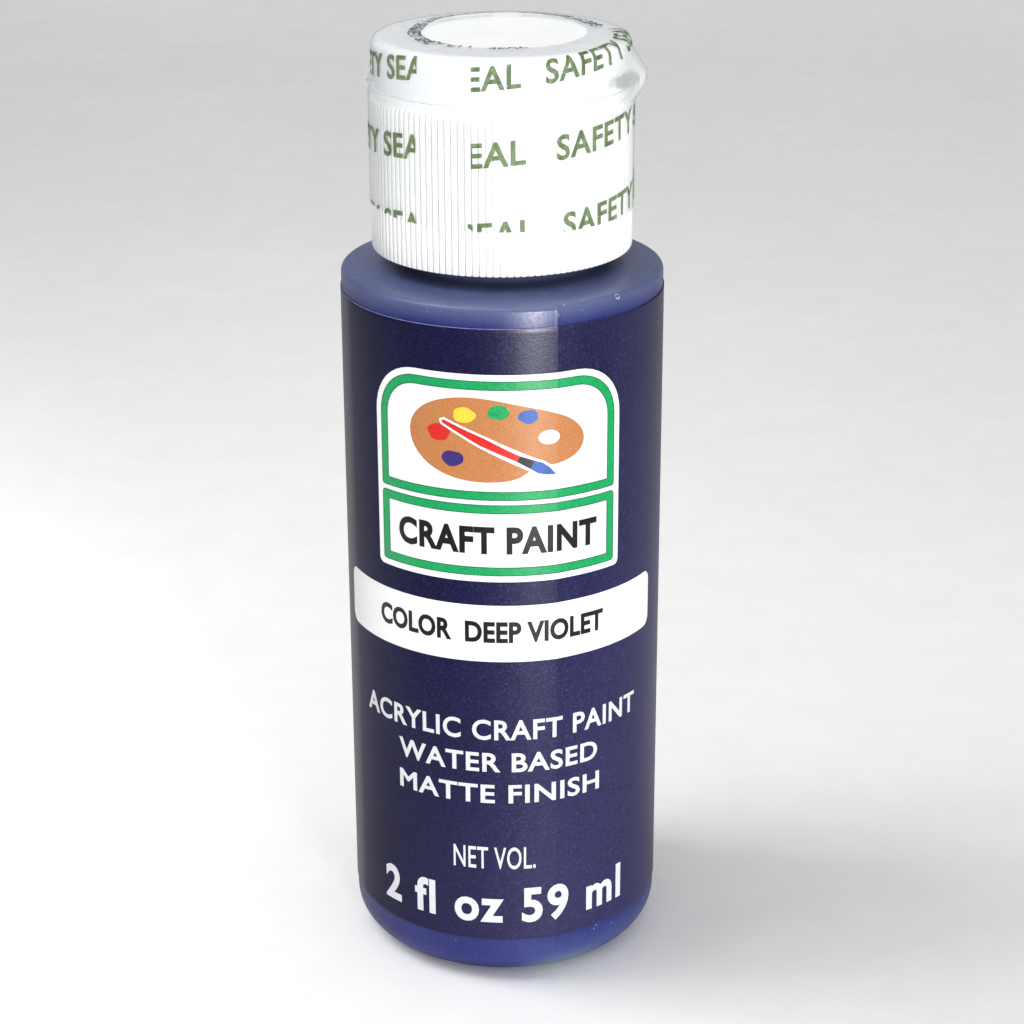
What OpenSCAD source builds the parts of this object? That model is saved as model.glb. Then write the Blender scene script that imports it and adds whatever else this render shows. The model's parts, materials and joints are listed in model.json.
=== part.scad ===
// Squeeze bottle of craft paint with a 24 mm flip-top dispensing cap,
// a wrap-around label and a clear shrink band over the cap.
// Millimetres, +Z up, origin at the centre of the base where the bottle stands.
// The label's ends meet at the back (+Y). The hinge is opposite the thumb tab.
// Each sub-part is a separate solid. The shrink band is in two pieces, split at
// the line where it tears when the lid is first opened.

/* [Bottle] */
// outside diameter of the bottle body
bottle_d = 35; // [31:0.5:44]
// height of the straight body, up to the corner of the shoulder
body_h = 79.7; // [60:0.1:110]
// radius of the rounded corner round the base
base_r = 4.06; // [2:0.02:5]
// thickness of the bottle's wall
wall_t = 0.9; // [0.6:0.1:1.4]
// rise of the dished base
dish_h = 1.5; // [0.8:0.1:2]
// rise of the shoulder from its corner to the neck
shoulder_rise = 0.75; // [0.3:0.05:2]

/* [Contents] */
// height of the paint's surface above the table
fill_z = 70.3; // [15:0.1:105]

/* [Label] */
// bottom edge of the label above the table
label_z0 = 5.53; // [5.2:0.01:12]
// plain band left between the label and the shoulder's corner
label_gap = 2.21; // [1.6:0.01:8]
// thickness of the label film
label_t = 0.08; // [0.05:0.01:0.15]
// width of the overlap where the label's ends meet at the back
label_lap = 7; // [4:0.5:12]

/* [Neck] */
// diameter of the neck under its thread
neck_d = 21.46; // [21.4:0.01:21.6]
// diameter over the neck's thread
thread_d = 23.5; // [23.3:0.05:23.6]
// height of the neck above the shoulder
neck_h = 16.45; // [16.2:0.05:16.6]
// bore of the neck
bore_d = 16.8; // [15:0.1:17.4]
// advance of the thread in one turn
pitch = 3.175; // [3.1:0.005:3.3]
// turns of thread on the neck and in the cap
turns = 1.5; // [1:0.25:1.75]

/* [Cap] */
// diameter over the grip ribs
cap_d = 28.14; // [27.6:0.02:28.4]
// number of grip ribs round the skirt
ribs = 120; // [60:1:140]
// depth of the grip ribs
rib_t = 0.27; // [0.15:0.01:0.3]
// gap between the shoulder and the skirt's lower edge
skirt_gap = 1.42; // [0.8:0.01:2]
// diameter of the dispensing hole
orifice_d = 3.2; // [2.4:0.1:4]
// height of the spout above the cap's deck
spout_h = 3.5; // [2.6:0.1:3.8]

/* [Lid] */
// outside diameter of the flip lid
lid_d = 27.32; // [27.0:0.02:27.4]
// height of the lid from the parting line to its top
lid_h = 4.93; // [4.6:0.01:6]
// radius of the lid's top edge
lid_edge = 0.9; // [0.4:0.05:1.2]
// how far the thumb tab stands out past the lid
tab_out = 1.72; // [1:0.02:2]
// direction of the thumb tab in degrees from +X
tab_dir = -12.5; // [-90:0.5:90]

/* [Shrink band] */
// thickness of the shrink film
film_t = 0.1; // [0.06:0.01:0.12]
// lowest edge of the film above the table, as a height below the parting line
film_drop = 12.9; // [8:0.1:15]
// radius of the open ring in the film on top of the lid
film_hole = 8.8; // [5:0.1:11]

/* [Hidden] */

$fn = 96;
clearance = 0.02;                   // gap left between neighbouring solids
overlap = 0.01;                     // lets joined shapes or cuts run together
overcut = 1;                        // how far a cut runs past a face

// Bottle
bottle_r = bottle_d / 2;
inner_r = bottle_r - wall_t;
shoulder_r = 0.6;                   // crisp radius at the shoulder's corner
shoulder_z = body_h + shoulder_rise;
cavity_top = body_h - wall_t;
dish_floor_t = 1.1;                 // thickness of the dished floor
dish_r = bottle_r - base_r - 1.24;  // radius of the dished area
dish_sphere_r = (dish_r * dish_r + dish_h * dish_h) / (2 * dish_h);
dish_sphere_z = dish_h - dish_sphere_r;

// Neck and its thread
neck_r = neck_d / 2;
bore_r = bore_d / 2;
neck_top = shoulder_z + neck_h;
thread_z0 = neck_top - 1.9 - turns * pitch;
thread_start = 20;                  // degrees from +X

// Cap
cap_r = cap_d / 2;
cap_z0 = shoulder_z + skirt_gap;
deck_under = neck_top + 0.07;
deck_top = deck_under + 1.4;
part_z = deck_top + 1.1;            // parting line between cap and lid
rib_top = part_z - 1.0;
rib_root = cap_r - rib_t;
band_r = rib_root - 0.02;           // plain band above the ribs
thread_bore = thread_d / 2 + 0.3;
seal_r = bore_r - 0.06;             // seal ring, a running fit in the neck
orifice_r = orifice_d / 2;
spout_top = deck_top + spout_h;

// Lid
lid_r = lid_d / 2;
lid_top = part_z + lid_h;
lid_z0 = part_z + 0.03;
lid_in = lid_r - 0.91;
pin_r = orifice_r - 0.15;
tab_x = lid_r - 6.26;               // centre of the arc that outlines the tab
tab_r = lid_r + tab_out - tab_x;

// Hinge, on the -X side before turning by tab_dir
hinge_x = -(cap_r + 0.23);          // axis of the fold
flat_x = -(cap_r - 0.12);           // flats that the web joins
flat_w = 5;
web_in = 0.3;                       // inner and outer radii of the fold
web_out = 0.55;
web_w = 4.6;

// Shrink band
film_r = cap_r + 0.03;              // inner radius on the skirt
film_lid_r = lid_r + 0.05;          // inner radius on the lid
film_lid_top = lid_top + 0.03;      // underside of the film on top of the lid
film_z0 = part_z - film_drop;
tear_z = part_z - 0.2;
upper_z0 = part_z + 0.1;

// A helical ridge with a four-sided section. root_r is the buried side and
// crest_r the crest; the section narrows from root_w to crest_w and fades out
// at both ends. A crest_r smaller than root_r makes an internal thread.
module helix(root_r, crest_r, root_w, crest_w, z0, steps = 30) {
    n = round(turns * steps);
    function fade(i) = min(1, min(i, n - i) / 2.5 + 0.12);
    function section(i) =
        let (angle = thread_start + i * 360 / steps,
             z = z0 + i * pitch / steps,
             size = fade(i),
             tip_r = root_r + (crest_r - root_r) * size,
             root_half = root_w / 2 * (0.35 + 0.65 * size),
             tip_half = crest_w / 2 * (0.35 + 0.65 * size))
        [[root_r * cos(angle), root_r * sin(angle), z - root_half],
         [tip_r * cos(angle), tip_r * sin(angle), z - tip_half],
         [tip_r * cos(angle), tip_r * sin(angle), z + tip_half],
         [root_r * cos(angle), root_r * sin(angle), z + root_half]];
    pts = [for (i = [0:n]) each section(i)];
    // each side facet is split into two triangles
    sides = [for (i = [0:n - 1]) for (k = [0:3])
        let (here = 4 * i + k, next = 4 * i + (k + 1) % 4)
        each [[here, next, next + 4], [here, next + 4, here + 4]]];
    ends = [[0, 2, 1], [0, 3, 2],
            [4 * n, 4 * n + 1, 4 * n + 2], [4 * n, 4 * n + 2, 4 * n + 3]];
    // an internal thread needs its faces turned over
    flip = crest_r < root_r;
    tris = [for (t = concat(sides, ends)) flip ? [t[0], t[2], t[1]] : t];
    polyhedron(points = pts, faces = tris, convexity = 6);
}

// Half profile of a round body with rounded bottom and top corners.
module round_profile(r, h, bottom_r, top_r) {
    square([r - max(bottom_r, top_r), h]);
    translate([0, bottom_r]) square([r, h - bottom_r - top_r]);
    square([r - bottom_r, bottom_r + overlap]);
    translate([0, h - top_r - overlap]) square([r - top_r, top_r + overlap]);
    translate([r - bottom_r, bottom_r]) circle(bottom_r);
    translate([r - top_r, h - top_r]) circle(top_r);
}

// Half profile of a disc with a square lower edge and a rounded top edge.
module cap_profile(r, h, top_r) {
    square([r, h - top_r]);
    translate([0, h - top_r - overlap]) square([r - top_r, top_r + overlap]);
    translate([r - top_r, h - top_r]) circle(top_r);
}

// The space inside the bottle, shrunk by gap, up to height top.
module cavity(gap, top) {
    difference() {
        translate([0, 0, wall_t + gap])
            rotate_extrude()
                round_profile(inner_r - gap, top - wall_t - gap, base_r - wall_t, 0.4);
        translate([0, 0, dish_sphere_z]) sphere(dish_sphere_r + dish_floor_t + gap);
    }
}

module bottle() color([0.52, 0.56, 0.68, 0.8]) {
    lip_r = 0.6;
    neck_flare = 0.6;               // shoulder's top past the neck
    funnel_flare = 1.4;
    difference() {
        union() {
            rotate_extrude() round_profile(bottle_r, body_h, base_r, shoulder_r);
            translate([0, 0, body_h])
                cylinder(r1 = bottle_r - shoulder_r, r2 = neck_r + neck_flare, h = shoulder_rise);
            // neck, rooted 1 mm into the body, with a rounded lip
            rotate_extrude() {
                translate([0, body_h - 1]) square([neck_r, neck_top - lip_r - body_h + 1]);
                translate([0, neck_top - 1]) square([neck_r - lip_r, 1]);
                translate([neck_r - lip_r, neck_top - lip_r]) circle(lip_r);
            }
            // neck thread
            helix(neck_r - 0.35, thread_d / 2, 1.9, 0.9, thread_z0);
        }
        cavity(0, cavity_top);
        translate([0, 0, cavity_top - 0.2]) cylinder(d = bore_d, h = neck_h + 4);
        // funnel from the shoulder into the neck
        translate([0, 0, cavity_top - overlap])
            cylinder(r1 = bore_r + funnel_flare, r2 = bore_r, h = 1.3);
        translate([0, 0, dish_sphere_z]) sphere(dish_sphere_r);
    }
}

module paint() color([0.20, 0.18, 0.38]) {
    headroom = 4;                   // least space left above the paint
    cavity(0.05, min(fill_z, cavity_top - headroom));
}

module label() color([0.22, 0.22, 0.42]) {
    label_in = bottle_r + clearance;
    label_h = body_h - label_gap - label_z0;
    difference() {
        translate([0, 0, label_z0]) cylinder(r = label_in + label_t, h = label_h);
        translate([0, 0, label_z0 - overcut]) cylinder(r = label_in, h = label_h + 2 * overcut);
    }
    // the end that laps over at the back
    lap_dir = 86;
    lap_angle = label_lap / bottle_r * 180 / PI;
    rotate([0, 0, lap_dir - lap_angle / 2])
        rotate_extrude(angle = lap_angle)
            translate([label_in + label_t / 2, label_z0])
                square([label_t * 1.5, label_h]);
}

// Outline of the ribbed skirt: each rib is a flat crest with sloping flanks.
// Columns: angle as a share of the rib spacing, height as a share of rib_t.
rib_section = [[-0.43, 0], [-0.33, 1], [0.33, 1], [0.43, 0]];
rib_outline = [for (i = [0:ribs - 1]) for (point = rib_section)
    let (angle = (i + point[0]) * 360 / ribs, r = rib_root + rib_t * point[1])
    [r * cos(angle), r * sin(angle)]];

// Flat block on the hinge side that the web joins.
module hinge_flat(z, h)
    rotate([0, 0, tab_dir]) translate([flat_x, -flat_w / 2, z]) cube([1.2, flat_w, h]);

// Ribs and plain band, before hollowing.
module skirt() {
    bevel_r = cap_r + 0.02;
    band_z0 = cap_z0 + 2;
    flat_h = 1.3;
    // ribs, bevelled at both ends
    intersection() {
        translate([0, 0, cap_z0]) linear_extrude(rib_top - cap_z0) polygon(rib_outline);
        rotate_extrude() polygon([
            [0, cap_z0], [rib_root - 0.05, cap_z0], [bevel_r, cap_z0 + 0.45],
            [bevel_r, rib_top - 0.4], [band_r - 0.05, rib_top], [0, rib_top]]);
    }
    translate([0, 0, band_z0]) cylinder(r = band_r, h = part_z - band_z0);
    hinge_flat(part_z - flat_h, flat_h);
}

// Ring that the lid snaps over.
module snap_ring()
    rotate_extrude() polygon([
        [lid_in - 1.1, deck_top - 0.3], [lid_in - 0.3, deck_top - 0.3],
        [lid_in - 0.3, part_z + 0.15], [lid_in - 0.2, part_z + 0.4],
        [lid_in - 0.35, part_z + 0.8], [lid_in - 0.75, part_z + 0.85],
        [lid_in - 1.1, part_z + 0.4]]);

// Spout, wide at its foot, with a flared mouth.
module spout()
    rotate_extrude() polygon([
        [orifice_r, deck_top - 0.3], [orifice_r + 2.4, deck_top - 0.3],
        [orifice_r + 2.4, deck_top], [orifice_r + 1.75, deck_top + 0.25],
        [orifice_r + 1.45, deck_top + 0.8], [orifice_r + 1.15, spout_top - 0.35],
        [orifice_r + 0.85, spout_top], [orifice_r + 0.35, spout_top],
        [orifice_r, spout_top - 0.6]]);

// Seal ring under the deck, entering the neck.
module seal_ring()
    rotate_extrude() polygon([
        [seal_r - 0.95, deck_under + 0.3], [seal_r, deck_under + 0.3],
        [seal_r, deck_under - 2.0], [seal_r - 0.3, deck_under - 2.7],
        [seal_r - 0.6, deck_under - 2.7], [seal_r - 0.95, deck_under - 2.2]]);

module cap_body() color([0.93, 0.94, 0.94]) {
    bore_bevel = 0.5;
    deck_thinning = 0.15;
    thread_drop = 1.43;             // cap thread below the neck thread
    difference() {
        skirt();
        // hollow above the deck, round the spout
        translate([0, 0, deck_top])
            cylinder(r = lid_in - 1.05, h = part_z - deck_top + overcut);
        // threaded bore, bevelled at its mouth
        translate([0, 0, cap_z0 - overcut])
            cylinder(r = thread_bore, h = deck_under - cap_z0 + overcut);
        translate([0, 0, cap_z0 - overlap])
            cylinder(r1 = thread_bore + bore_bevel, r2 = thread_bore, h = 0.6);
        // the deck is thinner inside the seal ring
        translate([0, 0, cap_z0])
            cylinder(r = seal_r - 1, h = deck_under - cap_z0 + deck_thinning);
        translate([0, 0, deck_under - overcut]) cylinder(d = orifice_d, h = 4);
    }
    snap_ring();
    spout();
    seal_ring();
    helix(thread_bore + 0.35, neck_r + 0.3, 1.25, 0.5, thread_z0 - thread_drop);
}

// Thumb tab, bevelled below and above.
module thumb_tab() {
    under_h = 0.35;
    edge_h = 0.6;
    rotate([0, 0, tab_dir]) translate([tab_x, 0, lid_z0 + 0.37]) {
        translate([0, 0, under_h]) cylinder(r = tab_r, h = edge_h);
        cylinder(r1 = tab_r - 0.35, r2 = tab_r, h = under_h);
        translate([0, 0, under_h + edge_h]) cylinder(r1 = tab_r, r2 = tab_r - 0.25, h = 0.15);
    }
}

module flip_lid() color([0.95, 0.95, 0.95]) {
    hollow_drop = 0.5;              // start of the hollow below the lid
    hollow_h = lid_h - 0.53;
    difference() {
        union() {
            translate([0, 0, lid_z0]) rotate_extrude()
                round_profile(lid_r, lid_top - lid_z0, 0.12, lid_edge);
            thumb_tab();
            hinge_flat(lid_z0, 1.25);
        }
        // hollow under the top, with a snap bead left near its mouth
        translate([0, 0, lid_z0 - hollow_drop]) rotate_extrude() polygon([
            [0, 0], [lid_in + 0.15, 0], [lid_in + 0.15, hollow_drop], [lid_in, 0.8],
            [lid_in - 0.13, 1.05], [lid_in, 1.3],
            [lid_in, lid_h - 1.1], [lid_in - 0.5, hollow_h], [0, hollow_h]]);
    }
    // plug pin that closes the dispensing hole, tapered at its tip
    taper = 0.35;
    pin_z = spout_top - 1.25;
    pin_top = lid_top - 0.5;
    translate([0, 0, pin_z + taper]) cylinder(r = pin_r, h = pin_top - pin_z - taper);
    translate([0, 0, pin_z]) cylinder(r1 = pin_r - taper, r2 = pin_r, h = taper);
}

// Thin folded web: a half tube round the hinge axis with a flange to each flat.
module living_hinge() color([0.95, 0.95, 0.95])
    rotate([0, 0, tab_dir]) translate([hinge_x, 0, part_z]) {
        difference() {
            rotate([90, 0, 0]) cylinder(r = web_out, h = web_w, center = true);
            rotate([90, 0, 0]) cylinder(r = web_in, h = web_w + overcut, center = true);
            translate([0, -web_w, -1]) cube([2, web_w * 2, 2]);
        }
        for (z = [web_in, -web_out])
            translate([-0.001, -web_w / 2, z])
                cube([flat_x - hinge_x - clearance, web_w, web_out - web_in]);
    }

// Window left in the film round the hinge flats.
module hinge_window() {
    window_w = flat_w + 0.8;
    window_h = 3;
    rotate([0, 0, tab_dir])
        translate([-cap_r - 3, -window_w / 2, part_z - window_h / 2])
            cube([5, window_w, window_h]);
}

// The space under the film that bridges the thumb tab: two cones and a short
// cylinder round the tab's own centre, made smaller by inset.
module tab_tent(inset) {
    low = part_z - 2.2;
    mid = lid_z0 + 0.25;
    mid_h = 1.4;
    top = lid_top - lid_edge - 0.35;
    out_r = tab_r + 0.25 - inset;
    rotate([0, 0, tab_dir]) translate([tab_x, 0, 0]) {
        translate([0, 0, low])
            cylinder(r1 = film_r - 0.35 - tab_x - inset, r2 = out_r, h = mid - low);
        translate([0, 0, mid]) cylinder(r = out_r, h = mid_h);
        translate([0, 0, mid + mid_h])
            cylinder(r1 = out_r, r2 = film_lid_r - 0.3 - tab_x - inset, h = top - mid - mid_h);
    }
}

module seal_band_lower() color([0.86, 0.92, 0.90, 0.35]) {
    tear_r = band_r + 0.05;
    start_z = film_z0 - 0.6;        // below the sloping trim
    trim_h = 20;
    trim_tilt = 1.8;
    difference() {
        rotate_extrude() polygon([
            [film_r, start_z], [film_r + film_t, start_z],
            [film_r + film_t, rib_top - 0.1], [tear_r + film_t, tear_z],
            [tear_r, tear_z], [film_r, rib_top - 0.15]]);
        // the lower edge runs slightly out of level
        translate([0, 0, film_z0 - trim_h]) rotate([0, trim_tilt, 0])
            translate([0, 0, trim_h / 2]) cube([60, 60, trim_h], center = true);
        hinge_window();
        tab_tent(-0.04);
    }
}

module seal_band_upper() color([0.86, 0.92, 0.90, 0.35]) {
    clear_h = 4.1;                  // reaches below the tent
    difference() {
        union() {
            translate([0, 0, upper_z0]) rotate_extrude()
                cap_profile(film_lid_r + film_t, film_lid_top + film_t - upper_z0, lid_edge);
            // film stretched over the thumb tab
            difference() {
                tab_tent(0);
                translate([0, 0, upper_z0 - clear_h]) cylinder(r = film_r + 0.01, h = clear_h);
            }
        }
        tab_tent(film_t);
        translate([0, 0, part_z - overcut]) rotate_extrude()
            cap_profile(film_lid_r, film_lid_top - part_z + overcut, lid_edge);
        // open ring on top
        translate([0, 0, lid_top - overcut]) cylinder(r = film_hole, h = 3);
        hinge_window();
    }
}

bottle();
paint();
label();
cap_body();
flip_lid();
living_hinge();
seal_band_lower();
seal_band_upper();
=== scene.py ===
# A small bottle of violet craft paint: a blown bottle with a printed label, a ribbed cap with a
# hinged lid, and a clear shrink seal over both. It stands upright on z = 0 round the Z axis and
# its label faces -Y. Shapes are worked out in mm and scaled to metres as meshes are made.
# An azimuth of 0 degrees faces the front (-Y), one of 90 faces +X.
import json
import math
import random

import bmesh
import bpy
from mathutils import Matrix, Vector, noise


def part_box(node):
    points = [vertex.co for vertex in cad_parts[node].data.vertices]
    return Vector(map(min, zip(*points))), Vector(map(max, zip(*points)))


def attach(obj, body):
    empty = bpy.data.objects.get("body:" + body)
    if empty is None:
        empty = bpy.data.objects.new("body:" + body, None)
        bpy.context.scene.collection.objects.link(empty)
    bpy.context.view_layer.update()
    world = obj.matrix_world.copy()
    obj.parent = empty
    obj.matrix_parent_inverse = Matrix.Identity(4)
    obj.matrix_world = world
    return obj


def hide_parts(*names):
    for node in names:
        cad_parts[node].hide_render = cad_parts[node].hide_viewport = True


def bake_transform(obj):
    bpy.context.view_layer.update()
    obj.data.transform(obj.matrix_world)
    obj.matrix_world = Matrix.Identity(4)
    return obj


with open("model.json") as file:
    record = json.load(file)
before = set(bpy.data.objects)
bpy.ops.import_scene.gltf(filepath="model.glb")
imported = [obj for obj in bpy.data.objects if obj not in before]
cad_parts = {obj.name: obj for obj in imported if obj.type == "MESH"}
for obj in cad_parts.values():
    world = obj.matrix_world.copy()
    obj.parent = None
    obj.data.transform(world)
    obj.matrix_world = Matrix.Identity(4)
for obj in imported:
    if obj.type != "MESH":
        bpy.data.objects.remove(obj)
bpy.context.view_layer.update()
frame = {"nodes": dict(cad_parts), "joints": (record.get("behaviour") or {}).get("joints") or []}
random.seed(7)
MM = 0.001


# ---------------------------------------------------------------- sizes in mm
def box_mm(name):
    """Low and high corner of a CAD piece."""
    lo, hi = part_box(name)
    return [v * 1000 for v in lo], [v * 1000 for v in hi]


_, bottle_hi = box_mm("bottle")
BOTTLE_R, NECK_TOP = bottle_hi[0], bottle_hi[2]
label_lo, label_hi = box_mm("label")
LABEL_Z0, LABEL_Z1 = label_lo[2], label_hi[2]
LABEL_R = -label_lo[1]                       # outside radius at the front
cap_lo, cap_hi = box_mm("cap_body")
CAP_Z0, CAP_R = cap_lo[2], cap_hi[1]
LID_TOP = box_mm("flip_lid")[1][2]
hinge = next(j for j in frame["joints"] if j["name"] == "lid_flip")
HINGE_X, HINGE_Y, PART_Z = [v * 1000 for v in hinge["pos_m"]]   # cap and lid part at hinge height
HINGE_AZ = math.degrees(math.atan2(HINGE_X, -HINGE_Y))
TAB_AZ = HINGE_AZ + 180                      # the thumb tab is opposite the hinge
TAB_POLAR = TAB_AZ - 90                      # the same direction as an angle from +X

BODY_H = 79.7                                # height of the bottle's straight body
SHOULDER = 80.45                             # where the neck rises from the shoulder
BASE_ROUND = 4.06                            # rounding at the foot
SEAM_AZ = 18.2                               # the mould's parting line on the bottle
SEAM_H = 0.22
THREAD_PITCH = 3.175
THREAD_TURNS = 1.5
THREAD_Z0 = NECK_TOP - 1.9 - THREAD_TURNS * THREAD_PITCH

LID_R = 13.66
LID_IN = LID_R - 0.91                        # inside of the lid's wall
LID_Z0 = PART_Z + 0.012
LID_ROUND = 0.9                              # rounding of the lid's top edge
DECK = PART_Z - 1.1                          # top face of the cap inside the lid
SPOUT_TOP = DECK + 3.5
TAB_C = LID_R - 6.26                         # centre and radius of the thumb tab's outline
TAB_R = LID_R + 1.72 - TAB_C


# ---------------------------------------------------------------- small sums
def az_xy(azimuth, radius):
    angle = math.radians(azimuth)
    return radius * math.sin(angle), -radius * math.cos(angle)


def turned(x, y, degrees):
    cos, sin = math.cos(math.radians(degrees)), math.sin(math.radians(degrees))
    return x * cos - y * sin, x * sin + y * cos


def ang_diff(azimuth, other):
    return (azimuth - other + 180) % 360 - 180


def arc_length(azimuth, other, radius):
    return ang_diff(azimuth, other) * math.pi / 180 * radius


def smooth(t):
    t = max(0.0, min(1.0, t))
    return t * t * (3 - 2 * t)


def wave(x, y, z):
    return noise.noise(Vector((x, y, z)))


def srgb(red, green, blue):
    def linear(value):
        value /= 255
        return value / 12.92 if value <= 0.04045 else ((value + 0.055) / 1.055) ** 2.4
    return (linear(red), linear(green), linear(blue), 1)


# ---------------------------------------------------------------- node materials
class Shader:
    """Builds nodes in a tree. Any value may be a number, a tuple or another node's output."""

    def __init__(self, tree):
        self.tree = tree

    def feed(self, socket, value):
        if isinstance(value, bpy.types.NodeSocket):
            self.tree.links.new(value, socket)
        else:
            socket.default_value = value

    def add(self, kind, **inputs):
        """A new node; an underscore in an input's name stands for a space."""
        node = self.tree.nodes.new("ShaderNode" + kind)
        for name, value in inputs.items():
            self.feed(node.inputs[name.replace("_", " ")], value)
        return node

    def scaled(self, vector, scale):
        return self.add("Mapping", Vector=vector, Scale=scale).outputs["Vector"]

    def axes(self):
        return self.add("SeparateXYZ", Vector=self.mm).outputs

    def noise(self, scale, detail=3.0, rough=0.55, vector=None):
        return self.add("TexNoise", Vector=vector or self.mm, Scale=scale, Detail=detail,
                        Roughness=rough).outputs["Fac"]

    def ramp(self, factor, stops):
        """stops: (position, colour)."""
        node = self.add("ValToRGB", Fac=factor)
        elements = node.color_ramp.elements
        while len(elements) > 1:
            elements.remove(elements[-1])
        elements[0].position, elements[0].color = stops[0]
        for position, color in stops[1:]:
            elements.new(position).color = color
        return node.outputs["Color"]

    def math(self, operation, *values):
        node = self.add("Math")
        node.operation = operation
        for socket, value in zip(node.inputs, values):
            self.feed(socket, value)
        return node.outputs[0]

    def span(self, value, over, to=(0, 1), soft=False):
        """Maps the range `over` on to the range `to`, clamped."""
        node = self.add("MapRange", Value=value, From_Min=over[0], From_Max=over[1],
                        To_Min=to[0], To_Max=to[1])
        if soft:
            node.interpolation_type = "SMOOTHSTEP"
        return node.outputs["Result"]

    def distance(self, axes, centre=None, halves=None):
        """Distance from a centre, each axis measured in its half width if given."""
        total = None
        for i, axis in enumerate(axes):
            if centre:
                axis = self.math("SUBTRACT", axis, centre[i])
            if halves:
                axis = self.math("DIVIDE", axis, halves[i])
            square = self.math("MULTIPLY", axis, axis)
            total = square if total is None else self.math("ADD", total, square)
        return self.math("SQRT", total)

    def mix(self, first, second, by):
        node = self.add("Mix")
        node.data_type = "RGBA"
        # the colour form of the node uses these sockets
        for index, value in ((0, by), (6, first), (7, second)):
            self.feed(node.inputs[index], value)
        return node.outputs[2]

    def mix_shader(self, first, second, by):
        node = self.add("MixShader")
        for socket, value in zip(node.inputs, (by, first, second)):
            self.feed(socket, value)
        return node.outputs[0]

    def bump(self, height, strength, mm, normal=None):
        node = self.add("Bump", Strength=strength, Distance=mm * MM, Height=height)
        if normal is not None:
            self.feed(node.inputs["Normal"], normal)
        return node.outputs["Normal"]

    def principled(self, color, rough, normal, **extra):
        return self.add("BsdfPrincipled", Base_Color=color, Roughness=rough, Normal=normal,
                        **extra).outputs["BSDF"]

    def output(self, surface):
        self.feed(self.out.inputs["Surface"], surface)
        return self.material


def new_shader(name):
    """An empty material; its mm output is object space in millimetres."""
    material = bpy.data.materials.new(name)
    material.use_nodes = True
    material.node_tree.nodes.clear()
    mat = Shader(material.node_tree)
    mat.material = material
    mat.out = mat.add("OutputMaterial")
    mat.mm = mat.scaled(mat.add("TexCoord").outputs["Object"], (1000.0,) * 3)
    return mat


def label_material():
    """Printed violet film with speckled grain; painted light makes it paler low down, painted shade
    darker to the left and high up.
    """
    mat = new_shader("label_print")
    x, _, z = mat.axes()
    grain = mat.noise(scale=4.6, detail=2.0, rough=0.65)
    broad = mat.noise(scale=0.09, detail=2.0)
    color = mat.ramp(grain, [(0.34, srgb(12, 12, 46)), (0.50, srgb(21, 21, 68)),
                             (0.60, srgb(32, 32, 88)), (0.70, srgb(62, 60, 118))])
    # painted light: a paler purple low down
    low = mat.span(z, over=(56, 26), to=(0, 0.30), soft=True)
    color = mat.mix(color, srgb(48, 42, 78), by=low)
    # painted shade on the left side of the label
    left = mat.span(x, over=(-17, 10), to=(0.62, 0.0), soft=True)
    color = mat.mix(color, srgb(8, 8, 24), by=left)
    # painted shade high up on the label
    high = mat.span(z, over=(38, 74), to=(0.0, 0.38), soft=True)
    color = mat.mix(color, srgb(10, 10, 40), by=high)
    clouds = mat.span(broad, over=(0.35, 0.65), to=(0.0, 0.12))
    color = mat.mix(color, srgb(50, 46, 90), by=clouds)
    rough = mat.span(grain, over=(0.3, 0.7), to=(0.29, 0.38))
    peel = mat.noise(scale=1.3, detail=2.0)
    normal = mat.bump(peel, strength=0.06, mm=0.05)
    normal = mat.bump(grain, strength=0.5, mm=0.03, normal=normal)
    # the shine falls off to the left, but the outermost left rim gleams
    shine = mat.span(x, over=(-16, 9), to=(0.16, 0.52), soft=True)
    rim = mat.span(x, over=(-15.8, -17.3), to=(0.0, 0.75), soft=True)
    return mat.output(mat.principled(color, rough, normal,
                                     Specular_IOR_Level=mat.math("MAXIMUM", shine, rim)))


def ink_material(name, tint, other, rough=0.36, scale=6.0):
    """Printed ink: a little mottled, satin."""
    mat = new_shader(name)
    grain = mat.noise(scale=scale, detail=2.0, rough=0.6)
    broad = mat.noise(scale=0.35, detail=2.0)
    color = mat.mix(tint, other, by=mat.span(grain, over=(0.35, 0.65)))
    color = mat.mix(color, other, by=mat.span(broad, over=(0.3, 0.7), to=(0, 0.25)))
    roughness = mat.span(grain, over=(0.3, 0.7), to=(rough - 0.05, rough + 0.07))
    return mat.output(mat.principled(color, roughness, mat.bump(grain, strength=0.2, mm=0.012),
                                     Coat_Weight=0.1, Coat_Roughness=0.3))


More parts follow.
